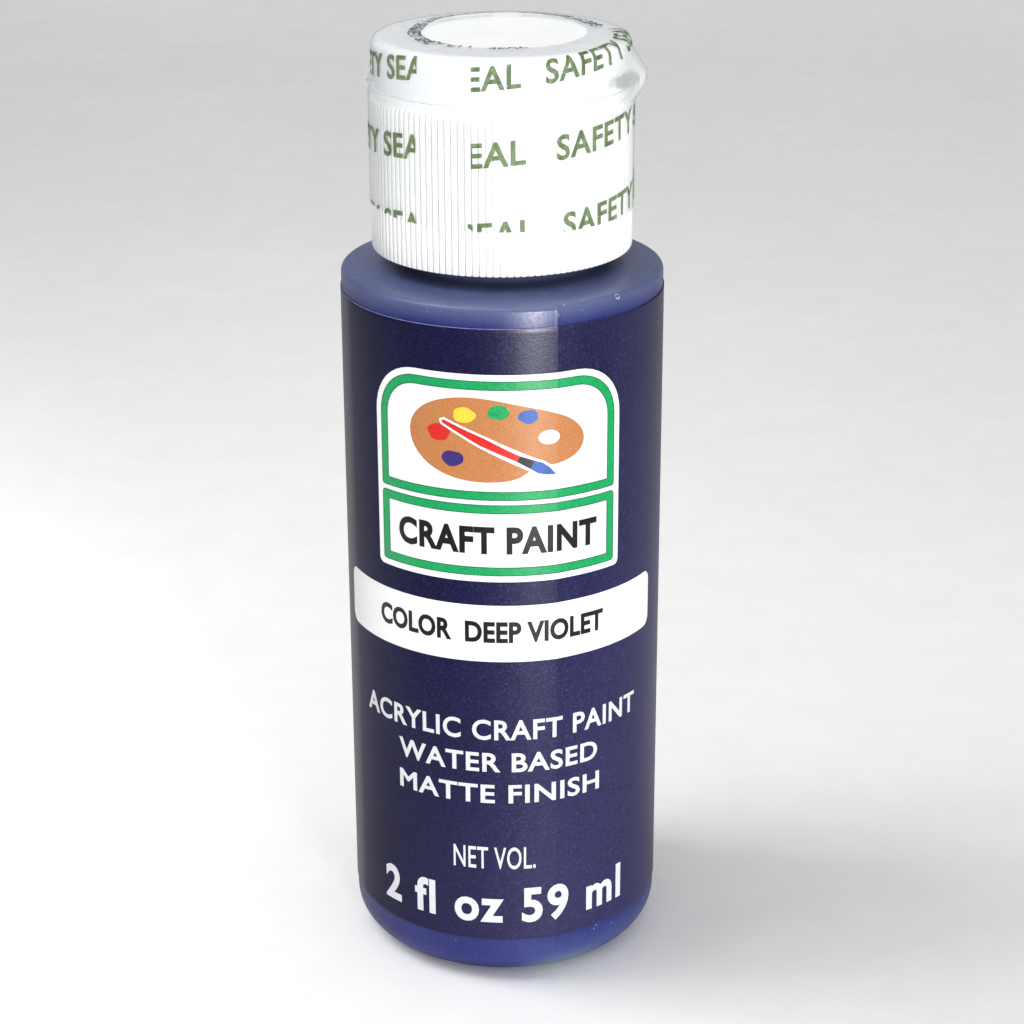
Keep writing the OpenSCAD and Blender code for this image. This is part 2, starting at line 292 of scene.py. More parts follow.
def bottle_material():
    """Milky plastic with violet paint showing through: greyer over the shoulder, pale at the
    neck, deep blue violet round the base, with fine flow lines and scuffs."""
    mat = new_shader("bottle_plastic")
    x, y, z = mat.axes()
    cloud = mat.noise(scale=0.22)
    streak = mat.noise(scale=1.0, vector=mat.scaled(mat.mm, (3.0, 3.0, 0.12)))
    clouds = dict(over=(0.3, 0.7))
    base = mat.mix(srgb(24, 28, 96), srgb(31, 36, 106), by=mat.span(cloud, **clouds))
    shoulder = mat.mix(srgb(70, 79, 120), srgb(79, 88, 128), by=mat.span(cloud, **clouds))
    # painted light: the base's rounding is paler towards the right
    pale = mat.math("MULTIPLY", mat.span(x, over=(-4.0, 7.0), to=(0, 0.62), soft=True),
                    mat.span(z, over=(6.0, 2.5), soft=True))
    base = mat.mix(base, srgb(62, 76, 126), by=pale)
    color = mat.mix(base, shoulder, by=mat.span(z, over=(77.3, 79.5), soft=True))
    # painted shade round the foot of the neck, under the cap, then the pale neck itself
    painted_neck_shade = mat.span(mat.distance((x, y)), over=(13.2, 11.2), soft=True)
    color = mat.mix(color, srgb(58, 66, 92), by=painted_neck_shade)
    color = mat.mix(color, srgb(206, 212, 222), by=mat.span(z, over=(81.0, 84.0), soft=True))
    # pale pinched spot at the foot, where the mould closed
    to_pinch = mat.distance((x, y), centre=az_xy(24, 15.4))
    pinch = mat.math("MULTIPLY", mat.span(to_pinch, over=(6.5, 1.2), soft=True),
                     mat.span(z, over=(3.6, 0.6), soft=True))
    color = mat.mix(color, srgb(108, 128, 146), by=mat.math("MULTIPLY", pinch, 0.8))
    # streaks and tiny light specks
    streaks = mat.span(streak, over=(0.45, 0.75), to=(0, 0.035))
    color = mat.mix(color, srgb(130, 136, 175), by=streaks)
    speck = mat.noise(scale=1.7, detail=1.0)
    specks = mat.span(speck, over=(0.745, 0.79), to=(0, 0.5))
    color = mat.mix(color, srgb(170, 176, 205), by=specks)
    fine = mat.noise(scale=2.6)
    rough = mat.span(fine, over=(0.3, 0.7), to=(0.30, 0.44))
    normal = mat.bump(streak, strength=0.06, mm=0.05)
    normal = mat.bump(fine, strength=0.10, mm=0.03, normal=normal)
    return mat.output(mat.principled(
        color, rough, normal, Coat_Weight=0.15, Coat_Roughness=0.22, Subsurface_Weight=0.12,
        Subsurface_Radius=(0.6, 0.7, 1.2), Subsurface_Scale=MM))


def cap_material(name, tint):
    """White moulded plastic: soft gloss, slight scuffs and flow marks."""
    mat = new_shader(name)
    broad = mat.noise(scale=0.35)
    fine = mat.noise(scale=4.0)
    duller = (tint[0] * 0.965, tint[1] * 0.97, tint[2] * 0.975, 1)
    color = mat.mix(tint, duller, by=mat.span(broad, over=(0.35, 0.65)))
    rough = mat.span(fine, over=(0.3, 0.7), to=(0.30, 0.42))
    normal = mat.bump(fine, strength=0.10, mm=0.02)
    normal = mat.bump(broad, strength=0.10, mm=0.15, normal=normal)
    return mat.output(mat.principled(
        color, rough, normal, Subsurface_Weight=0.08, Subsurface_Radius=(0.4, 0.4, 0.4),
        Subsurface_Scale=MM))


def film_material(name, haze, tint):
    """Clear shrink film: see-through, glossy at a glancing angle, faint haze and tight creases.
    Only faces turned to the viewer count, so the thin sheet isn't reckoned twice."""
    mat = new_shader(name)
    crease = mat.noise(scale=0.75, detail=4.0, rough=0.6,
                       vector=mat.scaled(mat.mm, (1.0, 1.0, 0.35)))
    fine = mat.noise(scale=5.0, detail=2.0)
    normal = mat.bump(crease, strength=0.35, mm=0.18)
    normal = mat.bump(fine, strength=0.08, mm=0.02, normal=normal)
    axes = mat.axes()
    # hazier round the thumb tab, where the sheet hangs free
    to_tab = mat.distance(axes, centre=(*az_xy(TAB_AZ, 15.2), 100.6))
    free = mat.span(to_tab, over=(6.0, 2.0), to=(0, 0.34), soft=True)
    # painted shade: the hollow beside the tab, where the sheet stands off, is tinted grey-green in
    # its clear colour
    to_hollow = mat.distance(axes, centre=(*az_xy(TAB_AZ - 15, 14.3), 100.85),
                             halves=(2.6, 3.3, 1.05))
    ragged = mat.math("ADD", to_hollow, mat.span(crease, over=(0.3, 0.7), to=(-0.30, 0.30)))
    hollow = mat.span(ragged, over=(1.05, 0.55), soft=True)
    shade = tuple(c * k for c, k in zip(tint[:3], (0.64, 0.665, 0.63))) + (1,)
    through = mat.add("BsdfTransparent", Color=mat.mix(tint, shade, by=hollow))
    # painted shade greys the milky haze in the hollow too
    milky = mat.add("BsdfDiffuse", Color=mat.mix((0.90, 0.93, 0.93, 1),
                                                 (0.62, 0.645, 0.615, 1), by=hollow))
    haziness = mat.span(crease, over=(0.3, 0.7), to=(haze * 0.5, haze * 1.5))
    sheet = mat.mix_shader(through.outputs[0], milky.outputs[0],
                           by=mat.math("ADD", haziness, free))
    gloss = mat.add("BsdfGlossy", Roughness=0.14, Color=(1, 1, 1, 1), Normal=normal)
    fresnel = mat.add("Fresnel", IOR=1.40, Normal=normal)
    sheet = mat.mix_shader(sheet, gloss.outputs[0],
                           by=mat.math("MINIMUM", fresnel.outputs[0], 0.55))
    backfacing = mat.add("NewGeometry").outputs["Backfacing"]
    return mat.output(mat.mix_shader(sheet, mat.add("BsdfTransparent").outputs[0],
                                     by=backfacing))


def paint_material():
    mat = new_shader("wet_paint")
    swirl = mat.noise(scale=0.25, detail=5.0, rough=0.65)
    color = mat.mix(srgb(58, 48, 112), srgb(72, 60, 128), by=mat.span(swirl, over=(0.35, 0.65)))
    rough = mat.span(swirl, over=(0.3, 0.7), to=(0.08, 0.2))
    return mat.output(mat.principled(color, rough, mat.bump(swirl, strength=0.1, mm=0.3),
                                     Coat_Weight=0.5))


def edge_material():
    """The label's cut edge: a painted highlight along it on the left, painted shade right of the
    parting line.
    """
    mat = new_shader("label_edge")
    # painted shade right of the parting line
    right = mat.span(mat.axes()[0], over=(5.3, 5.7))
    grain = mat.noise(scale=1.2, detail=2.0)
    # painted highlight along the edge, mottled
    light = mat.mix(srgb(84, 88, 136), srgb(116, 120, 164), by=mat.span(grain, over=(0.3, 0.7)))
    rough = mat.span(grain, over=(0.3, 0.7), to=(0.35, 0.5))
    return mat.output(mat.principled(mat.mix(light, srgb(24, 24, 60), by=right), rough,
                                     mat.bump(grain, strength=0.2, mm=0.03)))


def seal_print_material(name, dark, light):
    """Green printing on clear film, with upright streaks of painted light and shade standing for
    the ribs seen through it. It lies so close to the white plastic that it throws no shadow."""
    mat = new_shader(name)
    streak = mat.noise(scale=1.9, detail=2.0, vector=mat.scaled(mat.mm, (1.0, 1.0, 0.12)))
    grain = mat.noise(scale=3.0, detail=2.0)
    # painted light and shade: upright streaks like the ribs behind the ink
    color = mat.mix(dark, light, by=mat.span(streak, over=(0.32, 0.68)))
    worn = mat.span(grain, over=(0.55, 0.75), to=(0, 0.35))
    color = mat.mix(color, (0.55, 0.62, 0.48, 1), by=worn)
    rough = mat.span(grain, over=(0.3, 0.7), to=(0.42, 0.6))
    ink = mat.principled(color, rough, mat.bump(grain, strength=0.2, mm=0.02),
                         Specular_IOR_Level=0.3)
    return mat.output(mat.mix_shader(ink, mat.add("BsdfTransparent").outputs[0],
                                     by=mat.add("LightPath").outputs["Is Shadow Ray"]))


LABEL_FILM = label_material()
BOTTLE_PLASTIC = bottle_material()
CAP_PLASTIC = cap_material("cap_plastic", (0.90, 0.905, 0.90, 1))
LID_PLASTIC = cap_material("lid_plastic", (0.92, 0.925, 0.925, 1))
FILM = film_material("shrink_film", haze=0.08, tint=(0.985, 0.995, 0.99, 1))
LID_FILM = film_material("shrink_film_lid", haze=0.13, tint=(0.955, 0.965, 0.985, 1))
PAINT = paint_material()
INK = {name: ink_material("ink_" + name, tint, other) for name, tint, other in (
    ("white", (0.86, 0.87, 0.86, 1), (0.79, 0.80, 0.79, 1)),
    ("lettering", (0.68, 0.69, 0.71, 1), (0.58, 0.59, 0.62, 1)),
    ("black", srgb(12, 13, 12), srgb(24, 26, 24)),
    ("green", srgb(0, 132, 70), srgb(6, 168, 94)),
    ("dark_green", srgb(12, 84, 58), srgb(20, 104, 70)),
    ("red", srgb(196, 22, 18), srgb(212, 38, 28)),
    ("ochre", srgb(172, 108, 58), srgb(190, 126, 74)),
    ("yellow", srgb(226, 190, 40), srgb(236, 204, 70)),
    ("blue", srgb(24, 74, 156), srgb(40, 94, 176)),
    ("violet", srgb(44, 32, 104), srgb(60, 46, 120)),
)}
LABEL_EDGE = edge_material()
SEAL_INK = seal_print_material("seal_ink", srgb(80, 100, 64), srgb(118, 138, 98))
RING_INK = seal_print_material("seal_ink_doubled", srgb(40, 54, 54), srgb(92, 110, 104))


# ---------------------------------------------------------------- mesh tools
def add_object(name, data):
    obj = bpy.data.objects.new(name, data)
    bpy.context.scene.collection.objects.link(obj)
    return obj


def set_smooth(mesh, value=True):
    mesh.polygons.foreach_set("use_smooth", [value] * len(mesh.polygons))


def mesh_object(name, verts, faces):
    """A smooth-shaded object from points in mm."""
    mesh = bpy.data.meshes.new(name)
    mesh.from_pydata([(x * MM, y * MM, z * MM) for x, y, z in verts], [], faces)
    mesh.validate()
    mesh.update()
    set_smooth(mesh)
    return add_object(name, mesh)


def orient(obj, facing=None):
    """Drops loose points and makes normals agree. facing(face) is positive where a face of an
    open sheet points the right way."""
    edit = bmesh.new()
    edit.from_mesh(obj.data)
    loose = [v for v in edit.verts if not v.link_faces]
    bmesh.ops.delete(edit, geom=loose, context="VERTS")
    bmesh.ops.recalc_face_normals(edit, faces=edit.faces)
    if facing and sum(facing(f) * f.calc_area() for f in edit.faces) < 0:
        bmesh.ops.reverse_faces(edit, faces=edit.faces)
    edit.to_mesh(obj.data)
    edit.free()
    return obj


def revolve(name, azimuths, profile, closed=False):
    """profile(azimuth) gives the (radius, z) points there, the same number each time. A closed
    profile makes a ring; an open one whose ends lie on the axis makes a capped body."""
    rows = [profile(azimuth) for azimuth in azimuths]
    turns, points = len(azimuths), len(rows[0])
    verts, faces, index, poles = [], [], [], {}
    for azimuth, row in zip(azimuths, rows):
        ids = []
        for j, (radius, z) in enumerate(row):
            if radius < 1e-6 and not closed:
                if j not in poles:
                    poles[j] = len(verts)
                    verts.append((0, 0, z))
                ids.append(poles[j])
            else:
                ids.append(len(verts))
                verts.append((*az_xy(azimuth, radius), z))
        index.append(ids)
    for i in range(turns):
        here, after = index[i], index[(i + 1) % turns]
        for j in range(points if closed else points - 1):
            k = (j + 1) % points
            face = [here[j], after[j], after[k], here[k]]
            face = [v for n, v in enumerate(face) if v not in face[:n]]
            if len(face) > 2:
                faces.append(face)
    return orient(mesh_object(name, verts, faces))


def arc(centre_r, centre_z, radius, start, end, steps):
    """Profile points along an arc, from one angle to another in degrees."""
    angles = [math.radians(start + (end - start) * i / steps) for i in range(steps + 1)]
    return [(centre_r + radius * math.cos(t), centre_z + radius * math.sin(t)) for t in angles]


def finer(azimuths, centres, offsets):
    """Adds azimuths at the centres and at offsets to both sides of them."""
    out = set(round(azimuth % 360, 4) for azimuth in azimuths)
    for centre in centres:
        for offset in (0, *offsets):
            out.add(round((centre + offset) % 360, 4))
            out.add(round((centre - offset) % 360, 4))
    return sorted(out)


def evaluated_mesh(obj):
    graph = bpy.context.evaluated_depsgraph_get()
    bpy.context.view_layer.update()
    return bpy.data.meshes.new_from_object(obj.evaluated_get(graph))


def convert(obj):
    """Curve or text object to a mesh object of the same name."""
    mesh = evaluated_mesh(obj)
    name, curve = obj.name, obj.data
    bpy.data.objects.remove(obj)
    bpy.data.curves.remove(curve)
    return add_object(name, mesh)


def cut(edit, point, normal, clear_outer=False):
    geometry = edit.verts[:] + edit.edges[:] + edit.faces[:]
    bmesh.ops.bisect_plane(edit, geom=geometry, dist=1e-7, plane_co=point, plane_no=normal,
                           clear_outer=clear_outer)


def cut_across(edit, axis, value):
    point, normal = [0, 0, 0], [0, 0, 0]
    point[axis], normal[axis] = value, 1
    cut(edit, point, normal)


def reach(edit, axis):
    places = [v.co[axis] for v in edit.verts]
    return min(places), max(places)


def wrap(obj, place, step=0.8, clips=(), step_y=None, extra_cuts=()):
    """Bends a flat mesh (x along the arc, y up, z out, in mm) through place(x, y, z) -> x, y, z.
    It is first clipped by planes (point, normal), then cut into strips so that long faces
    follow the curve."""
    edit = bmesh.new()
    edit.from_mesh(obj.data)
    bmesh.ops.remove_doubles(edit, verts=edit.verts, dist=1e-5)
    for point, normal in clips:
        cut(edit, point, normal, clear_outer=True)
        origin, direction = Vector(point), Vector(normal)
        edges = [e for e in edit.edges if e.is_boundary
                 and all(abs((v.co - origin).dot(direction)) < 1e-4 for v in e.verts)]
        if edges:
            bmesh.ops.holes_fill(edit, edges=edges, sides=0)
    for axis, size in ((0, step), (1, step_y)):
        if size:
            lo, hi = reach(edit, axis)
            k = math.ceil(lo / size)
            while k * size < hi:
                cut_across(edit, axis, k * size)
                k += 1
    lo, hi = reach(edit, 0)
    for x in extra_cuts:
        if lo < x < hi:
            cut_across(edit, 0, x)
    bmesh.ops.triangulate(edit, faces=[f for f in edit.faces if len(f.verts) > 4])
    bmesh.ops.remove_doubles(edit, verts=edit.verts, dist=1e-5)
    for v in edit.verts:
        v.co = Vector(place(*v.co)) * MM
    bmesh.ops.recalc_face_normals(edit, faces=edit.faces)
    edit.to_mesh(obj.data)
    edit.free()
    obj.data.update()


def raw_text(name, string, bold=0.0, spacing=1.0):
    curve = bpy.data.curves.new(name, "FONT")
    curve.body = string
    curve.space_character = spacing
    curve.resolution_u = 4
    curve.fill_mode = "BOTH"
    curve.bevel_depth = bold
    curve.bevel_resolution = 0
    curve.extrude = 0.5
    return convert(add_object(name, curve))


def capital_height():
    """Height of a capital of the font at size 1."""
    probe = raw_text("capital", "H")
    heights = [v.co.y for v in probe.data.vertices]
    bpy.data.objects.remove(probe)
    return max(heights) - min(heights)


FONT_CAPITAL = capital_height()


def text_flat(name, string, height, width=None, bold=0.0, thick=0.02, spacing=1.0, slope=0.0):
    """Flat lettering, capital height in mm, scaled to width, bottom left at the origin."""
    obj = raw_text(name, string, bold, spacing)
    scale = height / (FONT_CAPITAL + 2 * bold)
    xs = [v.co.x for v in obj.data.vertices]
    scale_x = width / (max(xs) - min(xs)) if width else scale
    for v in obj.data.vertices:
        x = (v.co.x - min(xs)) * scale_x
        y = (v.co.y + bold) * scale
        v.co = (x, y + x * slope, v.co.z * thick)
    return obj


def shape_flat(name, loops, thick=0.02):
    """A filled flat shape; loops inside others are holes."""
    curve = bpy.data.curves.new(name, "CURVE")
    curve.dimensions = "2D"
    curve.fill_mode = "BOTH"
    curve.extrude = thick / 2
    for loop in loops:
        spline = curve.splines.new("POLY")
        spline.points.add(len(loop) - 1)
        for point, (x, y) in zip(spline.points, loop):
            point.co = (x, y, 0, 1)
        spline.use_cyclic_u = True
    return convert(add_object(name, curve))


def round_box(width, height, top_r, bottom_r, cx=0.0, cy=0.0, steps=8):
    """A rectangle with its own corner radius above and below."""
    loop = []
    for side, level, start, radius in ((1, 1, 0, top_r), (-1, 1, 90, top_r),
                                       (-1, -1, 180, bottom_r), (1, -1, 270, bottom_r)):
        loop += arc(cx + side * (width / 2 - radius), cy + level * (height / 2 - radius),
                    radius, start, start + 90, steps)
    return loop


def ellipse(cx, cy, half_w, half_h, wobble=lambda t: 1.0, steps=40):
    """wobble(angle) scales the distance from the centre."""
    angles = [2 * math.pi * i / steps for i in range(steps)]
    return [(cx + half_w * wobble(t) * math.cos(t), cy + half_h * wobble(t) * math.sin(t))
            for t in angles]


def dress(obj, material, sharp=40):
    """Gives an object its only material, with edges steeper than sharp degrees kept crisp."""
    obj.data.materials.clear()
    obj.data.materials.append(material)
    set_smooth(obj.data)
    obj.data.set_sharp_from_angle(angle=math.radians(sharp))


def finish(obj, material, body, replaces=None, sharp=40):
    dress(obj, material, sharp)
    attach(obj, body)
    if replaces:
        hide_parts(replaces)


def join(name, parts):
    """Joins mesh objects into one of the given name."""
    edit = bmesh.new()
    for part in parts:
        edit.from_mesh(part.data)
        bpy.data.objects.remove(part)
    mesh = bpy.data.meshes.new(name)
    edit.to_mesh(mesh)
    edit.free()
    return add_object(name, mesh)


# ---------------------------------------------------------------- bottle
def seam_rise(azimuth):
    """Height of the low ridge where the mould halves meet: it falls off slowly on the side of
    smaller azimuths and quickly on the other."""
    rise = 0.0
    for seam in (SEAM_AZ, SEAM_AZ + 180):
        along = arc_length(azimuth, seam, BOTTLE_R)
        rise += SEAM_H * math.exp(-abs(along) / (1.9 if along > 0 else 11.0))
    return rise


BODY_AZ = finer([i * 1.875 for i in range(192)], (SEAM_AZ, SEAM_AZ + 180),
                (0.12, 0.25, 0.4, 0.6, 0.9, 1.3, 1.8, 2.5, 3.4, 4.6, 6.0))


def bottle_profile(azimuth):
    """(radius, z) from the middle of the base, up outside, down inside to the axis."""
    foot_r = BOTTLE_R - BASE_ROUND
    dish_r = foot_r - 1.24
    # dished base and rounded foot
    points = [(dish_r * i / 8, 1.5 * (1 - (i / 8) ** 2)) for i in range(8)]
    points += [(dish_r, 0.10), (dish_r + 0.35, 0.0)]
    points += arc(foot_r, BASE_ROUND, BASE_ROUND, -90, 0, 12)
    points += [(BOTTLE_R, z) for z in (6, 20, 40, 60, 76)]
    # shoulder
    points += arc(BOTTLE_R - 0.6, BODY_H - 0.6, 0.6, 0, 84, 6)
    points += [(BOTTLE_R - 2.2, BODY_H + 0.20), (14.0, BODY_H + 0.42), (12.3, BODY_H + 0.60),
               (11.5, BODY_H + 0.72), (11.1, SHOULDER + 0.12), (10.85, SHOULDER + 0.5),
               (10.73, SHOULDER + 1.1)]
    # neck and its lip
    points += [(10.73, 86.0), (10.73, NECK_TOP - 0.6)]
    points += arc(10.13, NECK_TOP - 0.6, 0.6, 15, 90, 5)
    points += arc(8.7, NECK_TOP - 0.3, 0.3, 90, 180, 3)
    # inside
    points += [(8.4, 90.0), (8.4, 80.1), (9.8, 78.8), (16.2, 78.75), (16.6, 78.2),
               (16.6, 40.0), (16.6, 4.4)]
    points += arc(foot_r, BASE_ROUND, BASE_ROUND - 0.9, 0, -90, 8)
    points += [(9.0, 1.55), (4.0, 2.45), (0.0, 2.6)]

    # the ridge, with a fine flash line on its crest
    off_seam = min(abs(arc_length(azimuth, SEAM_AZ, BOTTLE_R)),
                   abs(arc_length(azimuth, SEAM_AZ + 180, BOTTLE_R)))
    ridge = seam_rise(azimuth) + 0.055 * math.exp(-(off_seam / 0.10) ** 2)
    out = []
    for radius, z in points:
        if radius > 16.7 and z > 0.2:
            radius += ridge * (smooth((z - 0.2) / 2.0) if z < BODY_H - 0.1 else 0.8)
        elif radius > 12.5 and z > BODY_H:
            z += ridge * 0.45
        out.append((radius, z))
    return out


def thread_rib(name, root_r, crest_r, root_w, crest_w, z0):
    """Rounded helical rib, tapering at both ends."""
    steps, across, fade_steps, start = 72, 7, 6, 20      # steps a turn; start angle from +X
    count = round(THREAD_TURNS * steps)
    verts, faces = [], []
    for i in range(count + 1):
        angle = math.radians(start + i * 360 / steps)
        z = z0 + i * THREAD_PITCH / steps
        fade = smooth(min(1, min(i, count - i) / fade_steps + 0.12))
        for j in range(across):
            t = j / (across - 1)
            radius = root_r + (crest_r - root_r) * fade * math.sin(math.pi * t) ** 0.7
            level = z + (-root_w / 2 + root_w * t) * (0.35 + 0.65 * fade)
            verts.append((radius * math.cos(angle), radius * math.sin(angle), level))
    for i in range(count):
        for j in range(across):
            low, high = i * across + j, i * across + (j + 1) % across
            faces.append([low, high, high + across, low + across])
    faces.append(list(range(across))[::-1])
    faces.append([count * across + j for j in range(across)])
    return mesh_object(name, verts, faces)


bottle_shell = join("bottle_shell", [
    revolve("bottle_body", BODY_AZ, bottle_profile),
    thread_rib("neck_thread", 10.45, 11.75, 1.9, 0.9, THREAD_Z0)])
finish(bottle_shell, BOTTLE_PLASTIC, "bottle", "bottle", sharp=45)


def mould_mark():
    """A small tilted ring on the shoulder's corner."""
    azimuth, radius, z = 43, BOTTLE_R - 0.14, 79.40
    ring_r, tube_r, tilt = 0.25, 0.06, math.radians(42)
    around, across = 28, 8
    verts, faces = [], []
    for i in range(around):
        for j in range(across):
            turn, roll = 2 * math.pi * i / around, 2 * math.pi * j / across
            reach_r = ring_r + tube_r * math.cos(roll)
            along, rise = reach_r * math.cos(turn), reach_r * math.sin(turn)
            height = tube_r * math.sin(roll)
            outward = height * math.cos(tilt) - rise * math.sin(tilt)
            upward = height * math.sin(tilt) + rise * math.cos(tilt)
            x, y = az_xy(azimuth + math.degrees(along / radius), radius + outward)
            verts.append((x, y, z + upward))
            i2, j2 = (i + 1) % around, (j + 1) % across
            faces.append([i * across + j, i2 * across + j, i2 * across + j2, i * across + j2])
    return mesh_object("mould_mark", verts, faces)


MARK = ink_material("mould_mark", srgb(190, 196, 216), srgb(160, 168, 196), rough=0.3, scale=3.0)
finish(mould_mark(), MARK, "bottle", sharp=80)

# the CAD's solid of paint keeps its shape and gets its wet look
paint_mesh = frame["nodes"]["paint"].data
paint_mesh.materials.clear()
paint_mesh.materials.append(PAINT)
set_smooth(paint_mesh)

# ---------------------------------------------------------------- label
LAP_AZ = 176.0                               # middle of the lapped end, at the back
LAP_HALF = 3.5 / BOTTLE_R * 180 / math.pi
LABEL_THICK = 0.075


def label_r(azimuth):
    """Outside radius of the label."""
    radius = LABEL_R + seam_rise(azimuth)
    off = ang_diff(azimuth, LAP_AZ)
    # the lapped end: a crisp step on one side, a soft one where it bridges the end below
    if off > -LAP_HALF:
        radius += (LABEL_THICK * smooth((LAP_HALF - off) / 0.12)
                   * smooth((off + LAP_HALF) / 1.2))
    # faint waviness of stuck film
    radius += 0.006 * math.sin(math.radians(azimuth * 7))
    return radius + 0.004 * math.sin(math.radians(azimuth * 13 + 40))


LABEL_AZ = finer(BODY_AZ, (LAP_AZ + LAP_HALF, LAP_AZ - LAP_HALF), (0.06, 0.12, 0.3, 0.7, 1.2))


def label_profile(azimuth):
    radius = label_r(azimuth)
    sin, cos = math.sin(math.radians(azimuth)), math.cos(math.radians(azimuth))
    edge_r = radius - 0.02 + max(0.02 * wave(sin * 3, cos * 3, 0), 0)
    z0 = LABEL_Z0 + 0.05 * wave(sin, cos, 4)
    z1 = LABEL_Z1 + 0.05 * wave(sin, cos, 9) - 0.03
    inner = radius - LABEL_THICK
    levels = (z0 + 0.06, z0 + 0.5, 12, 22, 32, 42, 52, 62, 70, z1 - 0.5, z1 - 0.06)
    return [(inner, z0 + 0.01), (edge_r, z0), *((radius, z) for z in levels),
            (edge_r, z1), (inner, z1 - 0.01)]


def label_edge_profile(azimuth):
    radius, z = label_r(azimuth), LABEL_Z1 - 0.02
    return [(radius - 0.04, z - 0.035), (radius + 0.012, z - 0.035),
            (radius + 0.015, z + 0.025), (radius - 0.01, z + 0.05), (radius - 0.05, z + 0.04)]


finish(revolve("label_sheet", LABEL_AZ, label_profile, closed=True),
       LABEL_FILM, "bottle", "label", sharp=60)
finish(revolve("label_edge_top", LABEL_AZ, label_edge_profile, closed=True),
       LABEL_EDGE, "bottle")

# distances from the parting line, in mm, where artwork crossing its ridge is cut finer
RIDGE_CUTS = (-6, -4.5, -3.2, -2.2, -1.4, -0.8, -0.4, -0.15, 0,
              0.15, 0.4, 0.8, 1.3, 1.9, 2.7, 3.6, 5.0)


def print_on_label(flat, azimuth, z0, ink, lift=0.02):
    """Wraps flat artwork on to the label: x runs along the arc from the azimuth, y up from z0."""
    def place(x, y, z):
        at_az = azimuth + math.degrees(x / LABEL_R)
        return *az_xy(at_az, label_r(at_az) + lift + z), z0 + y

    seam_x = math.radians(SEAM_AZ - azimuth) * LABEL_R
    wrap(flat, place, extra_cuts=[seam_x + d for d in RIDGE_CUTS])
    finish(flat, INK[ink], "bottle")


# name band
BAND_AZ, BAND_Z, BAND_H = -72, 40.0, 6.6
band_w = math.radians(64.5 - BAND_AZ) * LABEL_R
band = shape_flat("name_band", [round_box(band_w, BAND_H, 1.2, 1.2, band_w / 2, BAND_H / 2)])
print_on_label(band, BAND_AZ, BAND_Z, "white", lift=0.012)

# name, words, azimuths from and to, heights from and to, ink, boldness, spacing, lift
LABEL_LINES = [
    ("band_words", "COLOR  DEEP VIOLET", -50, 37, 42.25, 44.7, "black", 0.036, 1.03, 0.03),
    ("text_line_1", "ACRYLIC CRAFT PAINT", -60, 54.5, 30.6, 33.0, "lettering", 0.022, 1.08, 0.02),
    ("text_line_2", "WATER BASED", -42, 35, 26.7, 29.0, "lettering", 0.022, 1.08, 0.02),
    ("text_line_3", "MATTE FINISH", -42, 36, 22.85, 25.1, "lettering", 0.022, 1.08, 0.02),
    ("text_volume_head", "NET VOL.", -19.5, 10.5, 14.6, 17.3, "lettering", 0.008, 1.04, 0.02),
    ("text_volume", "2 fl oz 59 ml", -51, 47.6, 7.75, 12.1, "lettering", 0.030, 1.13, 0.02),
]
for name, words, az_from, az_to, z_from, z_to, ink, bold, spacing, lift in LABEL_LINES:
    line = text_flat(name, words, z_to - z_from, math.radians(az_to - az_from) * LABEL_R,
                     bold=bold, thick=0.024, spacing=spacing)
    print_on_label(line, az_from, z_from, ink, lift)

# badge: a rounded panel with a painter's palette and a brush; places are from its middle
BADGE_AZ, BADGE_Z = -3.0, 60.95
FRAME_W, FRAME_BAND, HAIRLINE = 27.3, 1.0, 0.09


def badge(name, loops, ink, lift):
    print_on_label(shape_flat("badge_" + name, loops, thick=0.016), BADGE_AZ, BADGE_Z, ink, lift)


def badge_frame(tag, height, top_r, bottom_r, cy):
    """A green band with a hairline of darker green along its outer and its inner edge."""
    def loop(inset):
        return round_box(FRAME_W - 2 * inset, height - 2 * inset, max(top_r - inset, 0.12),
                         max(bottom_r - inset, 0.12), 0, cy, steps=10)
    badge(f"frame_{tag}", [loop(0.0), loop(FRAME_BAND)], "green", 0.03)
    badge(f"line_{tag}_outer", [loop(0.0), loop(HAIRLINE)], "dark_green", 0.046)
    badge(f"line_{tag}_inner", [loop(FRAME_BAND - HAIRLINE), loop(FRAME_BAND)],
          "dark_green", 0.046)


def palette_wobble(t):
    notch = 0.20 * math.exp(-((t - 5.45) / 0.30) ** 2)
    return 1 + 0.10 * math.cos(2 * t + 0.5) - notch + 0.05 * math.cos(3 * t)


badge("panel", [round_box(28.8, 23.2, 5.6, 0.7, steps=10)], "white", 0.012)
badge_frame("upper", height=13.2, top_r=4.9, bottom_r=0.35, cy=4.3)
badge_frame("lower", height=8.1, top_r=0.5, bottom_r=0.35, cy=-6.85)
badge("palette", [ellipse(-0.4, 4.3, 8.772, 4.998, palette_wobble, steps=96),
                  ellipse(5.6, 4.6, 1.15, 0.8)], "ochre", 0.03)

# dabs of paint: centre x, y, half width, half height, ink
DABS = [(-6.1, 5.0, 1.25, 0.95, "red"), (-3.3, 7.1, 1.2, 0.85, "yellow"),
        (0.3, 7.5, 1.15, 0.78, "green"), (3.4, 7.0, 1.05, 0.75, "blue"),
        (-4.6, 2.2, 1.2, 0.85, "violet")]
for i, (x, y, half_w, half_h, ink) in enumerate(DABS):
    outline = ellipse(x, y, half_w, half_h, lambda t: (
        1 + 0.045 * math.sin(3 * t + 1.7 * i) + 0.03 * math.sin(5 * t + i)))
    badge(f"dab_{i + 1}", [outline], ink, 0.046)

